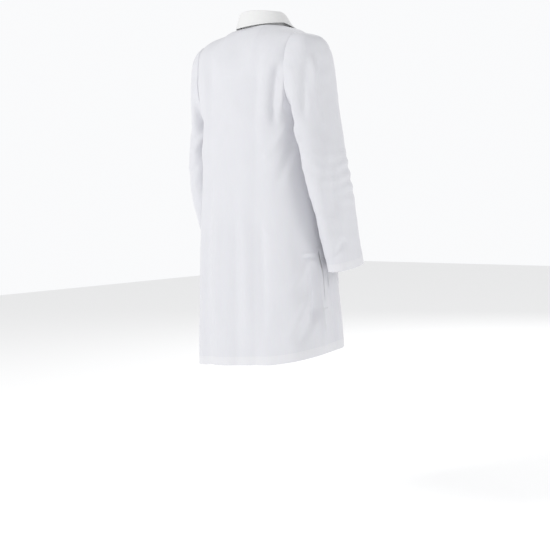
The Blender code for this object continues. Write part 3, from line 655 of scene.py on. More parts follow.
def worked(grid, folds):
    """Height of the single folds, which the wearer's left side has too, less marked."""
    height = np.zeros(grid.shape[:-1])
    for points, width, rise, other_share in folds:
        points, width, rise = np.array(points) * MM, width * MM, rise * MM
        height += fold_line(grid, points, width, rise)
        height += fold_line(grid, flip(points, -1.0), width * 1.15, rise * other_share)
    return height * FOLD_STRENGTH


# Each fold in millimetres: the points of its line on the wearer's right, its width and its height (a groove is
# below zero), and then the share of that height on the other side.
BACK_FOLDS = (
    (((-212, 70, -85), (-207, 98, -150), (-196, 104, -215), (-186, 108, -290)), 10, 6, 0.8),
    (((-190, 105, -110), (-178, 118, -180), (-170, 124, -250), (-172, 122, -330)), 13, -8, 0.7),
    (((-160, 118, -90), (-145, 130, -160), (-138, 138, -260), (-135, 142, -380)), 22, 5, 0.8),
    (((-200, 85, -300), (-178, 120, -360), (-140, 145, -420)), 12, 4.5, 0.6),
    (((-205, 60, -330), (-196, 100, -410), (-170, 135, -520)), 15, -4, 0.8),
    (((-238, 20, -690), (-246, 26, -800), (-254, 32, -900), (-258, 36, -990)), 8.5, 7.5, 0.6),
    (((-236, 50, -700), (-244, 56, -800), (-250, 64, -900)), 16, -11, 0.6),
    (((-245, 30, -830), (-244, 80, -893), (-226, 124, -970)), 13, -6.5, 0.4),
    (((-244, 40, -770), (-236, 95, -850), (-205, 150, -950)), 14, 5.5, 0.5),
    (((-236, 50, -700), (-225, 100, -760), (-190, 150, -830)), 13, 3.5, 0.5),
    (((-60, 160, -520), (-75, 172, -700), (-85, 182, -960)), 24, 5, 1.0),
    (((-125, 155, -560), (-140, 160, -740), (-150, 165, -980)), 20, -4.5, 0.8),
    (((-10, 115, -60), (-12, 136, -160), (-10, 150, -300)), 30, 2, 1.0),
    (((-243, 30, -690), (-236, 62, -690), (-226, 90, -691)), 4.5, 3.6, 0.5),
    (((-243, 30, -701), (-236, 62, -701), (-226, 90, -702)), 5, -4, 0.5),
)
SLEEVE_FOLDS = (
    (((-242, 52, -85), (-262, 74, -150), (-266, 86, -230), (-272, 92, -320)), 11, -8.5, 0.8),
    (((-228, 72, -105), (-240, 92, -160), (-243, 96, -240), (-246, 96, -330)), 13, 6.5, 0.8),
    (((-262, 50, -100), (-290, 60, -190), (-308, 56, -270), (-322, 46, -350)), 13, 7, 0.8),
    (((-272, 34, -110), (-300, 38, -190), (-322, 32, -280), (-338, 26, -350)), 13, -4.5, 0.8),
    (((-215, 60, -290), (-232, 90, -330), (-268, 98, -380)), 11, 6, 0.8),
    (((-232, 50, -360), (-262, 90, -410), (-310, 84, -470)), 13, -5, 0.8),
    (((-330, 40, -380), (-334, 40, -480), (-326, 30, -600)), 16, -6, 0.8),
    (((-300, 80, -440), (-300, 66, -560), (-306, 44, -690)), 18, 5.5, 0.8),
    (((-336, 0, -640), (-326, 24, -680), (-300, 40, -725)), 11, -6, 0.6),
    (((-250, 60, -520), (-262, 62, -620), (-272, 48, -720)), 14, -4.5, 0.8),
    (((-240, -90, -120), (-262, -75, -220), (-266, -70, -330)), 16, 5, 1.0),
)
FRONT_FOLDS = (
    (((-252, -10, -720), (-256, -20, -840), (-262, -20, -980)), 11, -6, 0.8),
    (((-246, -35, -600), (-250, -45, -760), (-256, -50, -970)), 13, 4.5, 0.8),
    (((-120, -148, -360), (-130, -150, -560)), 18, 4, 1.0),
    (((-200, -75, -300), (-180, -110, -380), (-150, -140, -470)), 14, 4.5, 0.8),
    (((-205, -60, -330), (-195, -95, -440), (-180, -120, -580)), 16, -4, 0.9),
)

# ---- panels ----

PANEL_ROWS = 261
BACK_COLUMNS, FRONT_COLUMNS = 161, 81
HEM_ROWS = 6            # rows of the panels in the turned-up hem, about 28 mm
FACING_COLUMNS = 15
ROW_HEIGHTS = panel(back_point, np.array((0.0,)), PANEL_ROWS)[:, 0, 2]
BREAK_ROW = int(np.searchsorted(ROW_HEIGHTS, BREAK_Z))
UNDERARM_ROW = int(np.searchsorted(ROW_HEIGHTS, UNDERARM_Z))


def slit_recess(z):
    """How far the front's side edge stands back from the seam line at the side opening."""
    share = (z - SLIT_BOTTOM_Z) / (SLIT_TOP_Z - SLIT_BOTTOM_Z)
    return SLIT_OPEN * math.sin(math.pi * share ** 1.5) ** 0.6 if 0.0 < share < 1.0 else 0.0


def doubled_rows(grid, rows):
    mask = np.zeros(grid.shape[:2], bool)
    mask[:rows] = True
    return mask


def make_back():
    half = panel(back_point, np.linspace(0.0, 1.0, (BACK_COLUMNS + 1) // 2), PANEL_ROWS)
    grid = hang(np.concatenate((flip(half[:, :0:-1], -1.0), half), axis=1))
    grid = lifted(grid, drape(grid) + worked(grid, BACK_FOLDS))
    whole = turned_hem(grid, from_axis(grid), HEM_ROWS)
    sheet("back_panel_cloth", whole, from_axis(whole), ["back_panel"], "coat_body",
          doubled=doubled_rows(whole, 2 * HEM_ROWS + 2))
    return grid


def make_front(side, back):
    name = side_name(side)
    grid = flip(panel(front_point, np.linspace(0.0, 1.0, FRONT_COLUMNS), PANEL_ROWS), side)
    grid = hang(grid)
    grid = lifted(grid, drape(grid) + worked(grid, FRONT_FOLDS))
    seam = back[:, -1] if side > 0 else back[:, 0]
    near = smooth(np.linspace(-11.0, 1.0, FRONT_COLUMNS))[None, :, None]
    row = np.arange(PANEL_ROWS)
    sewn = 1.0 - smooth((row - UNDERARM_ROW) / 5.0) + smooth((row - PANEL_ROWS + 7) / 6.0)
    grid += (seam[:, None] - grid[:, -1:]) * near * sewn[:, None, None]
    forward = unit(grid[:, -9:-8] - grid[:, -1:])
    recess = np.array([slit_recess(z) for z in ROW_HEIGHTS])[:, None, None]
    near = smooth(np.linspace(-7.0, 1.0, FRONT_COLUMNS))[None, :, None]
    grid += (forward - from_axis(grid[:, -1:]) * 1.2) * recess * near
    whole = turned_hem(grid, from_axis(grid), HEM_ROWS)
    mask = doubled_rows(whole, 2 * HEM_ROWS + 2)
    mask[:, :FACING_COLUMNS] = True
    sheet(name + "_front_cloth", whole, from_axis(whole), [name + "_front_panel", name + "_front_edge"],
          front_bend(side), doubled=mask)
    facing = lifted(grid[1:BREAK_ROW, :FACING_COLUMNS], -(2.0 * CLOTH + LAYER))
    facing[:, 0] = grid[1:BREAK_ROW, 0] + (facing[:, 1] - grid[1:BREAK_ROW, 1]) * 0.6
    sheet(name + "_front_facing_cloth", facing, from_axis(facing), [name + "_front_facing"], front_bend(side),
          [FACING_CLOTH], thickness=CLOTH * 0.7)
    return grid


BACK = make_back()
FRONTS = {side: make_front(side, BACK) for side in SIDES}
BACK_NET = net_of(BACK)
FRONT_NETS = {side: net_of(grid) for side, grid in FRONTS.items()}


NECK_COLUMN = int((1.0 + NECK_SHARE) / 2.0 * (BACK_COLUMNS - 1))
LEVEL_UP = np.array((0.0, 0.0, 0.2))


def panel_stitches():
    columns = np.arange(BACK_COLUMNS)
    stitched("coat_topstitch", line_on(BACK, HEM_ROWS - 0.6, columns, from_axis(BACK)))
    for rows in (np.arange(HEM_ROWS, UNDERARM_ROW), np.arange(UNDERARM_ROW + 2, PANEL_ROWS - 2)):
        for column in (1.3, BACK_COLUMNS - 2.3):
            stitched("coat_topstitch", line_on(BACK, rows, column, from_axis(BACK)))
    shoulder = np.arange(NECK_COLUMN + 2, BACK_COLUMNS - 2)
    for columns in (shoulder, BACK_COLUMNS - 1 - shoulder):
        stitched("coat_topstitch", line_on(BACK, PANEL_ROWS - 2.2, columns, from_axis(BACK) + LEVEL_UP))
    for side, grid in FRONTS.items():
        run = side_name(side) + "_front_topstitch"
        stitched(run, line_on(grid, HEM_ROWS - 0.6, np.arange(FRONT_COLUMNS - 1), from_axis(grid)))
        for column in (1.6, FACING_COLUMNS - 2.5):
            stitched(run, line_on(grid, np.arange(0, BREAK_ROW - 2), column, from_axis(grid)))
        bottom, top = np.searchsorted(ROW_HEIGHTS, (SLIT_BOTTOM_Z, SLIT_TOP_Z))
        slit = np.arange(bottom - 1, top + 2)
        stitched(run, line_on(grid, slit, FRONT_COLUMNS - 3.2, from_axis(grid)))
        for row in (slit[0], slit[-1]):
            first = BACK_COLUMNS - 2.6 if side > 0 else 0.0
            for part, tack in ((BACK, np.linspace(first, first + 1.6, 8)),
                               (grid, np.linspace(FRONT_COLUMNS - 3.4, FRONT_COLUMNS - 1.2, 8))):
                stitched("coat_bartacks", line_on(part, row, tack, from_axis(part), TACK_LIFT), across=True)


panel_stitches()

# ---- sleeves ----

SLEEVE_POINTS = 144
UPPER_SLEEVE_ROWS, LOWER_SLEEVE_ROWS = 110, 92
CUFF_HEM_ROWS = 8
BACKWARDS = np.array((0.0, 1.0, 0.0))
SLEEVE_OUTER = np.array(((0.2165, 0.0, -0.0605), (0.2670, 0.0, -0.0780), (0.2840, 0.0, -0.148),
                         (0.2910, 0.0, -0.230), (0.304, 0.0, -0.320), (0.3260, 0.0, -0.430)))
SLEEVE_INNER = np.array(((0.2105, 0.0, -0.297), (0.2110, 0.0, -0.303), (0.2125, 0.0, -0.315),
                         (0.2145, 0.0, -0.338), (0.2190, 0.0, -0.370), (0.2270, 0.0, -0.430)))
FOREARM_LEAN, FOREARM_LENGTH, CUFF_SPREAD = 11.0, 0.310, 0.009
ELBOW_INSET = 0.007     # the sleeve's middle stands this much nearer the body than the elbow hinge
ARMHOLE_DEPTH, ELBOW_DEPTH, CUFF_DEPTH = 0.0745, 0.078, 0.060
ELBOW_WIDTH, CUFF_WIDTH = 0.047, 0.042
SLEEVE_HEAD_ROLL = 0.0034
ELBOW_EASE = 40         # passes that round the bend between the upper sleeve and the forearm


def superloop(centre, across, depth_direction, half_depth, power=2.2):
    turn = np.linspace(0.0, 2.0 * math.pi, SLEEVE_POINTS, endpoint=False)
    c, s = np.cos(turn), np.sin(turn)
    c = np.sign(c) * np.abs(c) ** (2.0 / power)
    s = np.sign(s) * np.abs(s) ** (2.0 / power)
    return centre + np.outer(c, across) + np.outer(s * half_depth, depth_direction)


def armhole_loop(side):
    """The plain first loop of the sleeve, and the same loop laid on the armhole edges of back and front."""
    base = superloop((SLEEVE_OUTER[0] + SLEEVE_INNER[0]) / 2.0, (SLEEVE_OUTER[0] - SLEEVE_INNER[0]) / 2.0,
                     BACKWARDS, ARMHOLE_DEPTH)
    edges = [flip(edge[UNDERARM_ROW:], side) - BACKWARDS * SET_BACK
             for edge in (BACK[:, -1 if side > 0 else 0], FRONTS[side][:, -1])]
    foot, top = edges[0][0, 2], edges[0][-1, 2]
    heights = (base[:, 2] - base[:, 2].min()) / np.ptp(base[:, 2])
    loop = []
    for share, start in zip(heights, base):
        z = lerp(foot, top, share)
        edge = edges[0] if start[1] >= 0.0 else edges[1]
        loop.append((np.interp(z, edge[:, 2], edge[:, 0]), np.interp(z, edge[:, 2], edge[:, 1]), z))
    return base, np.array(loop)


def sleeve_grid(side):
    """Upper sleeve fanned from the armhole to the elbow, then the forearm down to the cuff, on the left side."""
    base, armhole = armhole_loop(side)
    rows = []
    for share in np.linspace(0.0, 1.0, UPPER_SLEEVE_ROWS)[:-1]:
        outer, inner = catmull(SLEEVE_OUTER, share * 5.0), catmull(SLEEVE_INNER, share * 5.0)
        half_depth = lerp(ARMHOLE_DEPTH, ELBOW_DEPTH, smooth(share * 1.6))
        row = superloop((outer + inner) / 2.0, (outer - inner) / 2.0, BACKWARDS, half_depth)
        rows.append(row + (armhole - base) * (1.0 - smooth(share / 0.75)))
    lean = math.radians(FOREARM_LEAN)
    down = np.array((0.0, -math.sin(lean), -math.cos(lean)))
    tilted = np.array((0.0, math.cos(lean), -math.sin(lean)))
    for share in np.linspace(0.0, 1.0, LOWER_SLEEVE_ROWS):
        centre = np.array(ELBOW) + down * share * FOREARM_LENGTH
        centre[0] += CUFF_SPREAD * share - ELBOW_INSET
        narrowing = smooth(share * 0.9 + 0.05)
        across = np.array((lerp(ELBOW_WIDTH, CUFF_WIDTH, narrowing), 0.0, 0.0))
        half_depth = lerp(ELBOW_DEPTH, CUFF_DEPTH, narrowing)
        rows.append(superloop(centre, across, lerp(BACKWARDS, tilted, smooth(share / 0.25)), half_depth))
    grid = np.array(rows)
    first, last = UPPER_SLEEVE_ROWS - 24, UPPER_SLEEVE_ROWS + 18
    for _ in range(ELBOW_EASE):
        grid[first:last] = (grid[first - 1:last - 1] + 2.0 * grid[first:last] + grid[first + 1:last + 1]) / 4.0
    return grid + BACKWARDS * SET_BACK


def sleeve_out(grid):
    return grid - grid.mean(axis=1, keepdims=True)


def elbow_creases(grid):
    """Level creases that gather at the front of the elbow and run out round the sides."""
    down = (ELBOW.z + 0.03 - grid[..., 2]) / 0.17
    fade = np.exp(-(down - 0.35) ** 2 * 6.0)
    front = smooth((0.04 - grid[..., 1]) / 0.10)
    wave = np.sin(grid[..., 2] * 170.0 + grid[..., 1] * 28.0 + 3.0 * noise_field(grid, 12.0, 9.0))
    return 0.0022 * wave * fade * lerp(0.25, 1.0, front)


def make_sleeve(side):
    name = side_name(side)
    grid = flip(sleeve_grid(side), side)
    rows = np.linspace(0.0, 1.0, len(grid))[:, None]
    slack = SLACK * noise_field(grid * np.array((1.0, 1.0, 0.5)), 13.0, 3.0 + side)
    crumple = CRUMPLE * noise_field(grid, 36.0, 5.0 + side)
    height = (slack + crumple + elbow_creases(grid)) * smooth(rows / 0.06)
    height += worked(grid, SLEEVE_FOLDS) * smooth(rows / 0.04)
    height += SLEEVE_HEAD_ROLL * smooth(rows / 0.016) * (1.0 - smooth((rows - 0.03) / 0.14))
    height *= 1.0 - 0.6 * smooth((rows - 0.93) / 0.05)
    grid = lifted(grid, height, sleeve_out(grid), closed=True)
    whole = turned_hem(grid[::-1], sleeve_out(grid)[::-1], CUFF_HEM_ROWS, closed=True)[::-1]
    split = UPPER_SLEEVE_ROWS - 5
    for part, piece, bend, replaced in (
            ("upper", whole[:split + 1], shoulder_bend(side), ["_sleeve_upper"]),
            ("lower", whole[split:], elbow_bend(side), ["_sleeve_lower", "_cuff_facing"])):
        mask = np.zeros(piece.shape[:2], bool)
        if part == "lower":
            mask[len(grid) - split - CUFF_HEM_ROWS:] = True
        outward = from_axis(piece - grid.mean(axis=1)[split // 2 if part == "upper" else split + 40])
        sheet(f"{name}_{part}_sleeve_cloth", piece, outward, [name + suffix for suffix in replaced], bend,
              closed=True, doubled=mask)
    ends = np.concatenate((grid, grid[:, :1]), axis=1)
    ring = np.arange(SLEEVE_POINTS + 1)
    outward = ends - ends.mean(axis=1, keepdims=True)
    stitched(name + "_cuff_topstitch", line_on(ends, len(grid) - CUFF_HEM_ROWS + 0.4, ring, outward))
    stitched(name + "_armhole_topstitch", line_on(ends, 1.9, ring, outward))


for side in SIDES:
    make_sleeve(side)

# ---- lapels and collar ----


def front_edge_at(z, side):
    """Point of the front's neck edge at a height above the break."""
    edge = FRONTS[side][BREAK_ROW:, 0]
    return np.array([np.interp(z, edge[:, 2], edge[:, i]) for i in range(3)])


LAPEL_ROWS, LAPEL_COLUMNS, LAPEL_TOP_INSIDE, LAPEL_TOP_OUTSIDE = 61, 27, -0.048, -0.088


def make_lapel(side):
    rows = []
    for t in np.linspace(0.0, 1.0, LAPEL_ROWS):
        row = []
        for s in np.linspace(0.0, 1.0, LAPEL_COLUMNS):
            z = lerp(BREAK_Z, lerp(LAPEL_TOP_INSIDE, LAPEL_TOP_OUTSIDE, s), t)
            belly = 0.006 * math.sin(math.pi * min(t / 0.9, 1.0)) * s
            x = roll_line(z) + s * (0.002 + LAPEL_WIDTH * t + belly)
            lift = 0.0030 + 0.0028 * (1.0 - s) ** 2 + 0.0030 * s * smooth(t * 2.0 - 1.0)
            lift *= smooth(s / 0.07) * lerp(0.35, 1.0, smooth(t / 0.12))
            row.append((x, front_edge_at(z, side)[1] - 0.03 * s, z, lift + 0.0004))
        rows.append(row)
    rows = np.array(rows)
    ideal = flip(rows[..., :3], side)
    wave = 0.0012 * noise_field(ideal, 22.0, 11.0 + side) * smooth(np.linspace(0.0, 1.0, LAPEL_COLUMNS) / 0.3)
    grid = evened(laid(FRONT_NETS[side], ideal, rows[..., 3] + np.abs(wave)), 3)
    name = side_name(side)
    outward = np.broadcast_to(-BACKWARDS, grid.shape)
    sheet(name + "_lapel_cloth", grid, outward, [name + "_lapel"], "coat_body",
          [COLLAR_CLOTH_PAINTED_LIGHT], thickness=0.0011)
    stitched("coat_topstitch", line_on(grid, np.arange(4, LAPEL_ROWS - 2), LAPEL_COLUMNS - 3.2, outward))
    stitched("coat_topstitch", line_on(grid, LAPEL_ROWS - 3.4, np.arange(5, LAPEL_COLUMNS - 3), outward))


NECK_POINT = 0.62           # share of the neck seam, from centre back, at which it passes the neck point
COLLAR_COLUMNS = 121
COLLAR_TOP = (COLLAR_STAND, 0.034, 0.010)       # each at centre back, neck point and gorge
COLLAR_REACH, COLLAR_DROP = (0.016, 0.019, 0.036), (-0.001, 0.003, 0.012)
COLLAR_CLOTH_THICKNESS = 0.0012


def neck_path(q):
    """Point, outward direction and share of the neck seam, from centre back (0) to the gorge (1 or -1)."""
    side, q = math.copysign(1.0, q), abs(q)
    if q <= NECK_POINT:
        turn = q / NECK_POINT * math.pi / 2.0
        return (np.array((side * NECK_HALF_WIDTH * math.sin(turn), NECK_DEPTH * math.cos(turn), 0.0)),
                np.array((side * math.sin(turn), math.cos(turn), 0.0)), q)
    z = -0.042 * (q - NECK_POINT) / (1.0 - NECK_POINT)
    point = front_edge_at(min(z, -0.0005), side)
    return point, np.array((side, 0.0, 0.0)), q


def collar_station(q, stations):
    """Smooth reading of a size given at centre back, at the neck point and at the gorge."""
    back, neck, front = stations
    if q < NECK_POINT:
        return lerp(back, neck, smooth(q / NECK_POINT))
    return lerp(neck, front, smooth((q - NECK_POINT) / (1 - NECK_POINT)))


def collar_offset(k, share):
    """How far out and how high the upper collar stands, from its inner edge (0) over the roll to its fall (1)."""
    top = collar_station(share, COLLAR_TOP) + 0.0035
    if k < 0.3:
        bend = k / 0.3 * math.pi
        return 0.0022 - 0.0040 * math.cos(bend), top - 0.003 + 0.0035 * math.sin(bend)
    fall = (k - 0.3) / 0.7
    return (lerp(0.0062, collar_station(share, COLLAR_REACH), fall ** 1.4) + 0.0015 * math.sin(math.pi * fall),
            lerp(top - 0.003, collar_station(share, COLLAR_DROP), fall))


def under_collar_offset(k, share):
    return 0.0002 + 0.002 * k, lerp(-0.001, collar_station(share, COLLAR_TOP), k)


def collar_grid(rows, offset):
    grid = []
    for k in np.linspace(0.0, 1.0, rows):
        row = []
        for q in np.linspace(-1.0, 1.0, COLLAR_COLUMNS):
            point, out, share = neck_path(q)
            reach, rise = offset(k, share)
            row.append(point + out * reach + np.array((0.0, 0.0, rise)))
        grid.append(row)
    return np.array(grid)


def make_collar():
    under, upper = collar_grid(13, under_collar_offset), collar_grid(37, collar_offset)
    wave = 0.0011 * noise_field(upper, 18.0, 13.0) * smooth(np.linspace(-0.3, 1.0, 37))[:, None]
    outward = from_axis(upper) * 20.0 + np.array((0.0, 0.0, 1.0))
    upper = lifted(upper, wave, outward)
    for name, grid, out, below in (("under_collar", under, from_axis(under), "back_panel_cloth"),
                                   ("upper_collar", upper, outward, "under_collar_cloth")):
        sheet(name + "_cloth", grid, out, [name], "coat_body", [COLLAR_CLOTH_PAINTED_LIGHT],
              thickness=COLLAR_CLOTH_THICKNESS)
    columns = np.arange(3, COLLAR_COLUMNS - 3)
    stitched("coat_topstitch", line_on(upper, 32.5, columns, outward))
    for column in (3.0, COLLAR_COLUMNS - 4.0):
        stitched("coat_topstitch", line_on(upper, np.arange(13, 33), column, outward))


for side in SIDES:
    make_lapel(side)
make_collar()

# ---- inside the neck ----


def neck_part(shares, heights):
    """Part of the upper back between two shares of its half width and of its height."""
    return np.array([[flip(back_point(abs(s), CHEST_Z, t), math.copysign(1.0, s)) for s in shares]
                     for t in heights])


ON_FACING = 2.0 * CLOTH + LAYER * 1.8       # depth behind the back panel of what is sewn on its neck facing


def neck_trims():
    points = neck_part(np.linspace(-0.333, 0.333, 61), np.linspace(0.5, 0.985, 25))
    grid = laid(BACK_NET, points, -(CLOTH + LAYER * 0.6))
    sheet("back_neck_facing_cloth", grid, from_axis(grid), ["back_neck_facing"], "coat_body",
          [FACING_CLOTH])
    points = neck_part(np.linspace(-0.085, 0.085, 17), np.linspace(0.54, 0.64, 9))
    grid = laid(BACK_NET, points, -ON_FACING)
    sheet("size_label_satin", grid, from_axis(grid), ["size_label"], "coat_body",
          [LABEL_SATIN], thickness=0.0004)
    shares = np.linspace(-0.11, 0.11, 41)
    bow = 0.0125 * np.sin(np.pi * np.linspace(0.0, 1.0, 41)) ** 2
    grid = laid(BACK_NET, neck_part(shares, np.linspace(0.752, 0.838, 5)), -(ON_FACING + bow))
    sheet("hanger_loop_tape", grid, from_axis(grid), ["hanger_loop"], "coat_body",
          materials=[FACING_CLOTH], thickness=0.0009)
    inward = -from_axis(grid)
    for row in (0.7, 3.3):
        stitched("coat_topstitch", line_on(grid, row, np.arange(1, 40), inward, lift=0.0010))


neck_trims()

# ---- pockets and side openings ----


TOP_HEM_ROWS = 7
POCKET_STITCH_INSET = 1.2


def patch_pocket(name, points, net, gape, corner):
    """A patch laid on the front with a turned top, a mouth that stands a little open, and stitched edges."""
    rows, columns = points.shape[:2]
    up = np.linspace(0.0, 1.0, rows)[:, None]
    across = np.linspace(0.0, 1.0, columns)[None, :]
    mouth = np.sin(np.pi * across) ** 0.8 * smooth(up * 1.6 - 0.35)
    slack = 0.0022 * np.sin(np.pi * across) * np.sin(np.pi * up) ** 0.7
    sides = smooth(np.minimum(np.minimum(across, 1.0 - across) * corner, up * corner))
    grid = evened(laid(net, points, CLOTH + 0.0005 + (LAYER * 0.6 + slack) * sides + gape * mouth))
    grid = lifted(grid, 0.0008 * noise_field(grid, 30.0, 21.0) * sides)
    flipped = grid[::-1]
    whole = turned_hem(flipped, from_axis(flipped), TOP_HEM_ROWS)
    sheet(name + "_cloth", whole, from_axis(whole), [name], "coat_body",
          doubled=doubled_rows(whole, 2 * TOP_HEM_ROWS + 2))
    for line_rows, line_columns in ((np.arange(1, rows), POCKET_STITCH_INSET),
                                    (np.arange(1, rows), columns - 1 - POCKET_STITCH_INSET),
                                    (POCKET_STITCH_INSET, np.arange(1, columns - 1)),
                                    (rows - TOP_HEM_ROWS - 0.3, np.arange(2, columns - 2))):
        stitched("coat_topstitch", line_on(grid, line_rows, line_columns, from_axis(grid)))
    for first, last in ((0.6, 3.0), (columns - 4.0, columns - 1.6)):
        tack = np.linspace(first, last, 8)
        stitched("coat_bartacks", line_on(grid, rows - 1.8, tack, from_axis(grid), TACK_LIFT), across=True)


def body_part(side, angles, columns, bottom, top, rows):
    """Part of the hanging body between two section angles and two heights."""
    points = [[section(angle, z) for angle in np.linspace(*angles, columns)]
              for z in np.linspace(bottom, top, rows)]
    return hang(flip(np.array(points), side))


def make_pockets():
    for side in SIDES:
        name = side_name(side)
        patch_pocket(name + "_lower_pocket", body_part(side, POCKET_ANGLES, 49, POCKET_BOTTOM_Z, POCKET_TOP_Z, 53),
                     FRONT_NETS[side], POCKET_GAPE, 14.0)
        points = body_part(side, SLIT_FACING_ANGLES, 19, SLIT_BOTTOM_Z - SLIT_FACING_PAST,
                           SLIT_TOP_Z + SLIT_FACING_PAST, 45)
        nets = net_of(FRONTS[side][:, :-6], BACK if side > 0 else BACK[:, ::-1])
        grid = evened(laid(nets, points, -(CLOTH + 4.0 * LAYER)), 6)
        sheet(name + "_side_opening_facing_cloth", grid, from_axis(grid), [name + "_side_opening_facing"],
              "coat_body", [FACING_CLOTH])
    xs = CHEST_POCKET_X + CHEST_POCKET_HALF_WIDTH * np.linspace(-1.0, 1.0, 33)
    points = np.array([[section(angle_at(x, z), z) for x in xs]
                       for z in np.linspace(CHEST_POCKET_BOTTOM_Z, CHEST_POCKET_TOP_Z, 37)])
    patch_pocket("chest_pocket", points, FRONT_NETS[1.0], CHEST_POCKET_GAPE, 12.0)


make_pockets()

# ---- buttons and buttonholes ----


def front_place(side, z, from_edge):
    """A place on the free front, as a matrix with local Z out of the cloth and local Y up."""
    point = hang(flip(section(angle_at(edge_x(z) + from_edge, z), z), side)[None, None])[0, 0]
    place, normal, _, _ = FRONT_NETS[side].find_nearest(Vector(point))
    normal = normal if normal.y < 0.0 else -normal
    up = (Vector((0.0, 0.0, 1.0)) - normal * normal.z).normalized()
    across = up.cross(normal).normalized()
    return Matrix.Translation(place) @ Matrix((across, up, normal)).transposed().to_4x4()


def held_bend(side, point):
    """A bend span set through one point, so that the whole piece would turn by the cloth's own share there."""
    coat, edge, start, end = front_bend(side)
    start, end = Vector(start), Vector(end)
    run = end - start
    share = min(max((Vector(point) - start).dot(run) / run.length_squared, 0.0), 1.0)
    along = run.normalized() * 10.0
    first = Vector(point) - along * share
    return coat, edge, tuple(first), tuple(first + along)


def revolve(profile, sides):
    bm = bmesh.new()
    rings = []
    for radius_share, height_share in profile:
        radius, height = radius_share * BUTTON_RADIUS, height_share * BUTTON_THICKNESS
        turn = np.linspace(0.0, 2.0 * math.pi, sides if radius > 0.0 else 1, endpoint=False)
        rings.append([bm.verts.new((radius * math.cos(a), radius * math.sin(a), height)) for a in turn])
    for low, high in zip(rings, rings[1:]):
        for i in range(sides):
            k = (i + 1) % sides
            loop = [low[i % len(low)], low[k % len(low)], high[k % len(high)], high[i % len(high)]]
            bm.faces.new(list(dict.fromkeys(loop)))
    bmesh.ops.recalc_face_normals(bm, faces=bm.faces)
    return bm


HOLE_PLACE, HOLE_RADIUS, MIDDLE_SHARE = 0.0019, 0.0011, 0.68
# Profile of half a button, in shares of its radius and thickness: back, rolled rim, dished middle.
BUTTON_PROFILE = ((0.0, 0.0), (0.55, 0.0), (0.88, 0.18), (0.98, 0.45), (1.0, 0.68), (0.97, 0.90), (0.90, 1.0),
                  (0.80, 0.98), (0.70, 0.80), (0.60, 0.70), (0.30, MIDDLE_SHARE), (0.0, MIDDLE_SHARE))


def made(name, bm):
    mesh = bpy.data.meshes.new(name)
    bm.to_mesh(mesh)
    bm.free()
    return mesh


def button_shape():
    """A four-hole button: flat back, raised rolled rim, and a dished middle."""
    obj = linked("button_shape", made("button_shape", revolve(BUTTON_PROFILE, 48)))
    drills = []
    for x in (-HOLE_PLACE, HOLE_PLACE):
        for y in (-HOLE_PLACE, HOLE_PLACE):
            bm = bmesh.new()
            bmesh.ops.create_cone(bm, cap_ends=True, segments=16, radius1=HOLE_RADIUS, radius2=HOLE_RADIUS,
                                  depth=0.02, matrix=Matrix.Translation((x, y, 0.0)))
            drills.append(linked("drill", made("drill", bm)))
            obj.modifiers.new("hole", 'BOOLEAN').object = drills[-1]
    shape = plain_mesh(obj)
    shape.shade_smooth()
    shape.set_sharp_from_angle(angle=math.radians(40.0))
    for extra in drills + [obj]:
        bpy.data.objects.remove(extra)
    return shape


def tube(bm, path, radius, sides=8):
    """A closed tube of thread along a path of points."""
    path = [Vector(p) for p in path]
    rings = []
    for i, point in enumerate(path):
        way = (path[min(i + 1, len(path) - 1)] - path[max(i - 1, 0)]).normalized()
        side = way.orthogonal() if abs(way.z) > 0.9 else way.cross(Vector((0.0, 0.0, 1.0)))
        side.normalize()
        other = way.cross(side)
        rings.append([bm.verts.new(point + (side * math.cos(a) + other * math.sin(a)) * radius)
                      for a in np.linspace(0.0, 2.0 * math.pi, sides, endpoint=False)])
    for low, high in zip(rings, rings[1:]):
        shift = min(range(sides),
                    key=lambda turn: sum((low[i].co - high[(i + turn) % sides].co).length for i in range(3)))
        for i in range(sides):
            bm.faces.new((low[i], low[(i + 1) % sides], high[(i + 1 + shift) % sides], high[(i + shift) % sides]))
    bm.faces.new(rings[0][::-1])
    bm.faces.new(rings[-1])


THREAD_RADIUS = 0.0003


def thread_shape():
    """Thread through the four holes, drawn together under the button into a wound shank."""
    bm = bmesh.new()
    top = BUTTON_THICKNESS * MIDDLE_SHARE + THREAD_RADIUS
    rise = ((0.0, HOLE_PLACE), (top * 0.7, HOLE_PLACE), (top, 0.0012))
    for x in (-HOLE_PLACE, HOLE_PLACE):
        for shift in (-THREAD_RADIUS, THREAD_RADIUS):
            up = [(x * 0.5 + shift, -0.0008, -SHANK * 0.8)] + [(x + shift, -y, z) for z, y in rise]
            down = [(across, -y, z) for across, y, z in reversed(up)]
            tube(bm, up + [(x + shift, 0.0, top + 0.0002)] + down, THREAD_RADIUS)
    for i in range(6):
        turn = np.linspace(0.0, 2.0 * math.pi, 17)
        tube(bm, [(0.0016 * math.cos(a), 0.0016 * math.sin(a), -0.0004 - i * 0.00032) for a in turn], 0.0002, 6)
    bmesh.ops.recalc_face_normals(bm, faces=bm.faces)
    mesh = made("thread_shape", bm)
    mesh.shade_smooth()
    return mesh


BUTTONHOLE_HALF_LENGTH, BUTTONHOLE_HALF_WIDTH = 0.0098, 0.0013


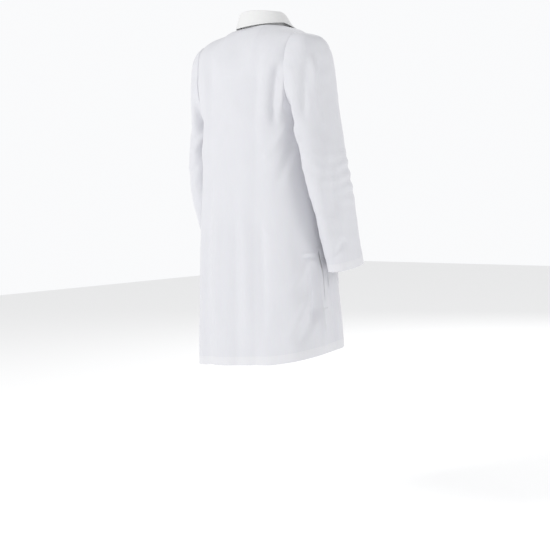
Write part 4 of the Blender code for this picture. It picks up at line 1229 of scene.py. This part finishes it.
def make_buttons():
    button, thread = button_shape(), thread_shape()
    for number, z in enumerate(BUTTON_HEIGHTS, 1):
        matrix = front_place(-1.0, z, BUTTON_FROM_EDGE)
        bend = held_bend(-1.0, matrix.translation)
        matrix = matrix @ Matrix.Translation((0.0, 0.0, SHANK + 0.0003))
        for name, shape, material, slot, shell in (("pearl_button", button, PEARL, "button", "button_"),
                                                   ("button_stay", thread, THREAD, "thread", "button_thread_")):
            mesh = shape.copy()
            mesh.transform(matrix)
            mesh.materials.clear()
            mesh.materials.append(material)
            settle(linked(f"{name}_{number}", mesh), [f"{shell}{number}"], bend)
    for z in BUTTON_HEIGHTS:
        matrix = front_place(1.0, z, BUTTON_FROM_EDGE)
        turn = np.linspace(0.0, 2.0 * math.pi, 90)
        x = BUTTONHOLE_HALF_LENGTH * np.sign(np.cos(turn)) * np.abs(np.cos(turn)) ** 0.35
        y = BUTTONHOLE_HALF_WIDTH * np.sin(turn)
        points = np.array([matrix @ Vector((a, b, TACK_LIFT)) for a, b in zip(x, y)])
        normals = np.broadcast_to(np.array(matrix.col[2][:3]), points.shape)
        stitched("buttonhole_stitching", (points, normals), across=True)


make_buttons()


def sew_all():
    tree = stitch_tree()
    sew("coat_topstitch", tree, "coat_body")
    sew("coat_bartacks", tree, "coat_body", pitch=0.0007, length=0.0024)
    sew("buttonhole_stitching", tree, front_bend(1.0), pitch=0.0006, length=0.0020, thickness=0.0004)
    for side in SIDES:
        name = side_name(side)
        sew(name + "_front_topstitch", tree, front_bend(side))
        sew(name + "_cuff_topstitch", tree, elbow_bend(side))
        sew(name + "_armhole_topstitch", tree, shoulder_bend(side))


sew_all()

# ---- stage, light and camera ----


def area_light(name, place, target, size, power):
    light = bpy.data.lights.new(name, 'AREA')
    light.shape = 'DISK'
    light.size = size
    light.energy = power
    obj = linked(name, light)
    obj.location = place
    obj.rotation_euler = (Vector(target) - Vector(place)).to_track_quat('-Z', 'Y').to_euler()


FLOOR_Z, FLOOR_HALF = -1.53, 9.0
AIR_GLOW, AIR_SEEN = 0.56, 0.97     # strength of the white air on the coat, and as the backdrop


def studio():
    mesh = bpy.data.meshes.new("studio_floor")
    corners = [(x * FLOOR_HALF, y * FLOOR_HALF, FLOOR_Z) for x, y in ((-1, -1), (1, -1), (1, 1), (-1, 1))]
    mesh.from_pydata(corners, [], [(0, 1, 2, 3)])
    mesh.materials.append(blank_finish("pale_floor", Base_Color=(0.86, 0.86, 0.86, 1.0), Roughness=0.9,
                                       Emission_Color=(1.0, 1.0, 1.0, 1.0), Emission_Strength=0.32)[0])
    linked("studio_floor", mesh)
    world = bpy.data.worlds.new("studio_air")
    bpy.context.scene.world = world
    world.use_nodes = True
    tree = world.node_tree
    seen = node(tree, "ShaderNodeLightPath")
    strength = node(tree, "ShaderNodeMapRange", Value=seen.outputs["Is Camera Ray"])
    strength.inputs["To Min"].default_value = AIR_GLOW
    strength.inputs["To Max"].default_value = AIR_SEEN
    tree.links.new(strength.outputs["Result"], tree.nodes["Background"].inputs["Strength"])
    tree.nodes["Background"].inputs["Color"].default_value = (0.985, 0.99, 1.0, 1.0)
    area_light("key", (1.4, 4.0, 1.9), (0.0, 0.0, -0.45), 1.2, 84.0)
    area_light("fill", (-4.0, -0.6, 0.6), (0.0, 0.0, -0.5), 2.0, 30.0)
    area_light("front", (1.8, -4.0, 1.4), (0.0, 0.0, -0.5), 2.0, 48.0)


CAMERA_DISTANCE, CAMERA_HEIGHT, CAMERA_AZIMUTH = 3.45, -0.51, math.radians(230.0)
PITCH, ROLL, YAW = -4.2, -2.45, -0.02


def camera():
    """Behind the wearer's right shoulder."""
    data = bpy.data.cameras.new("main_camera")
    data.sensor_width = 36.0
    data.lens = 72.3
    obj = linked("main_camera", data)
    place = Vector((math.sin(CAMERA_AZIMUTH) * CAMERA_DISTANCE, -math.cos(CAMERA_AZIMUTH) * CAMERA_DISTANCE,
                    CAMERA_HEIGHT))
    level = math.atan2(-place.x, place.y) + math.pi
    turn = (Matrix.Rotation(level + math.radians(YAW), 4, 'Z')
            @ Matrix.Rotation(math.radians(90.0 + PITCH), 4, 'X') @ Matrix.Rotation(math.radians(ROLL), 4, 'Z'))
    obj.matrix_world = Matrix.Translation(place) @ turn
    bpy.context.scene.camera = obj


bpy.context.scene.view_settings.view_transform = 'Standard'
studio()
camera()
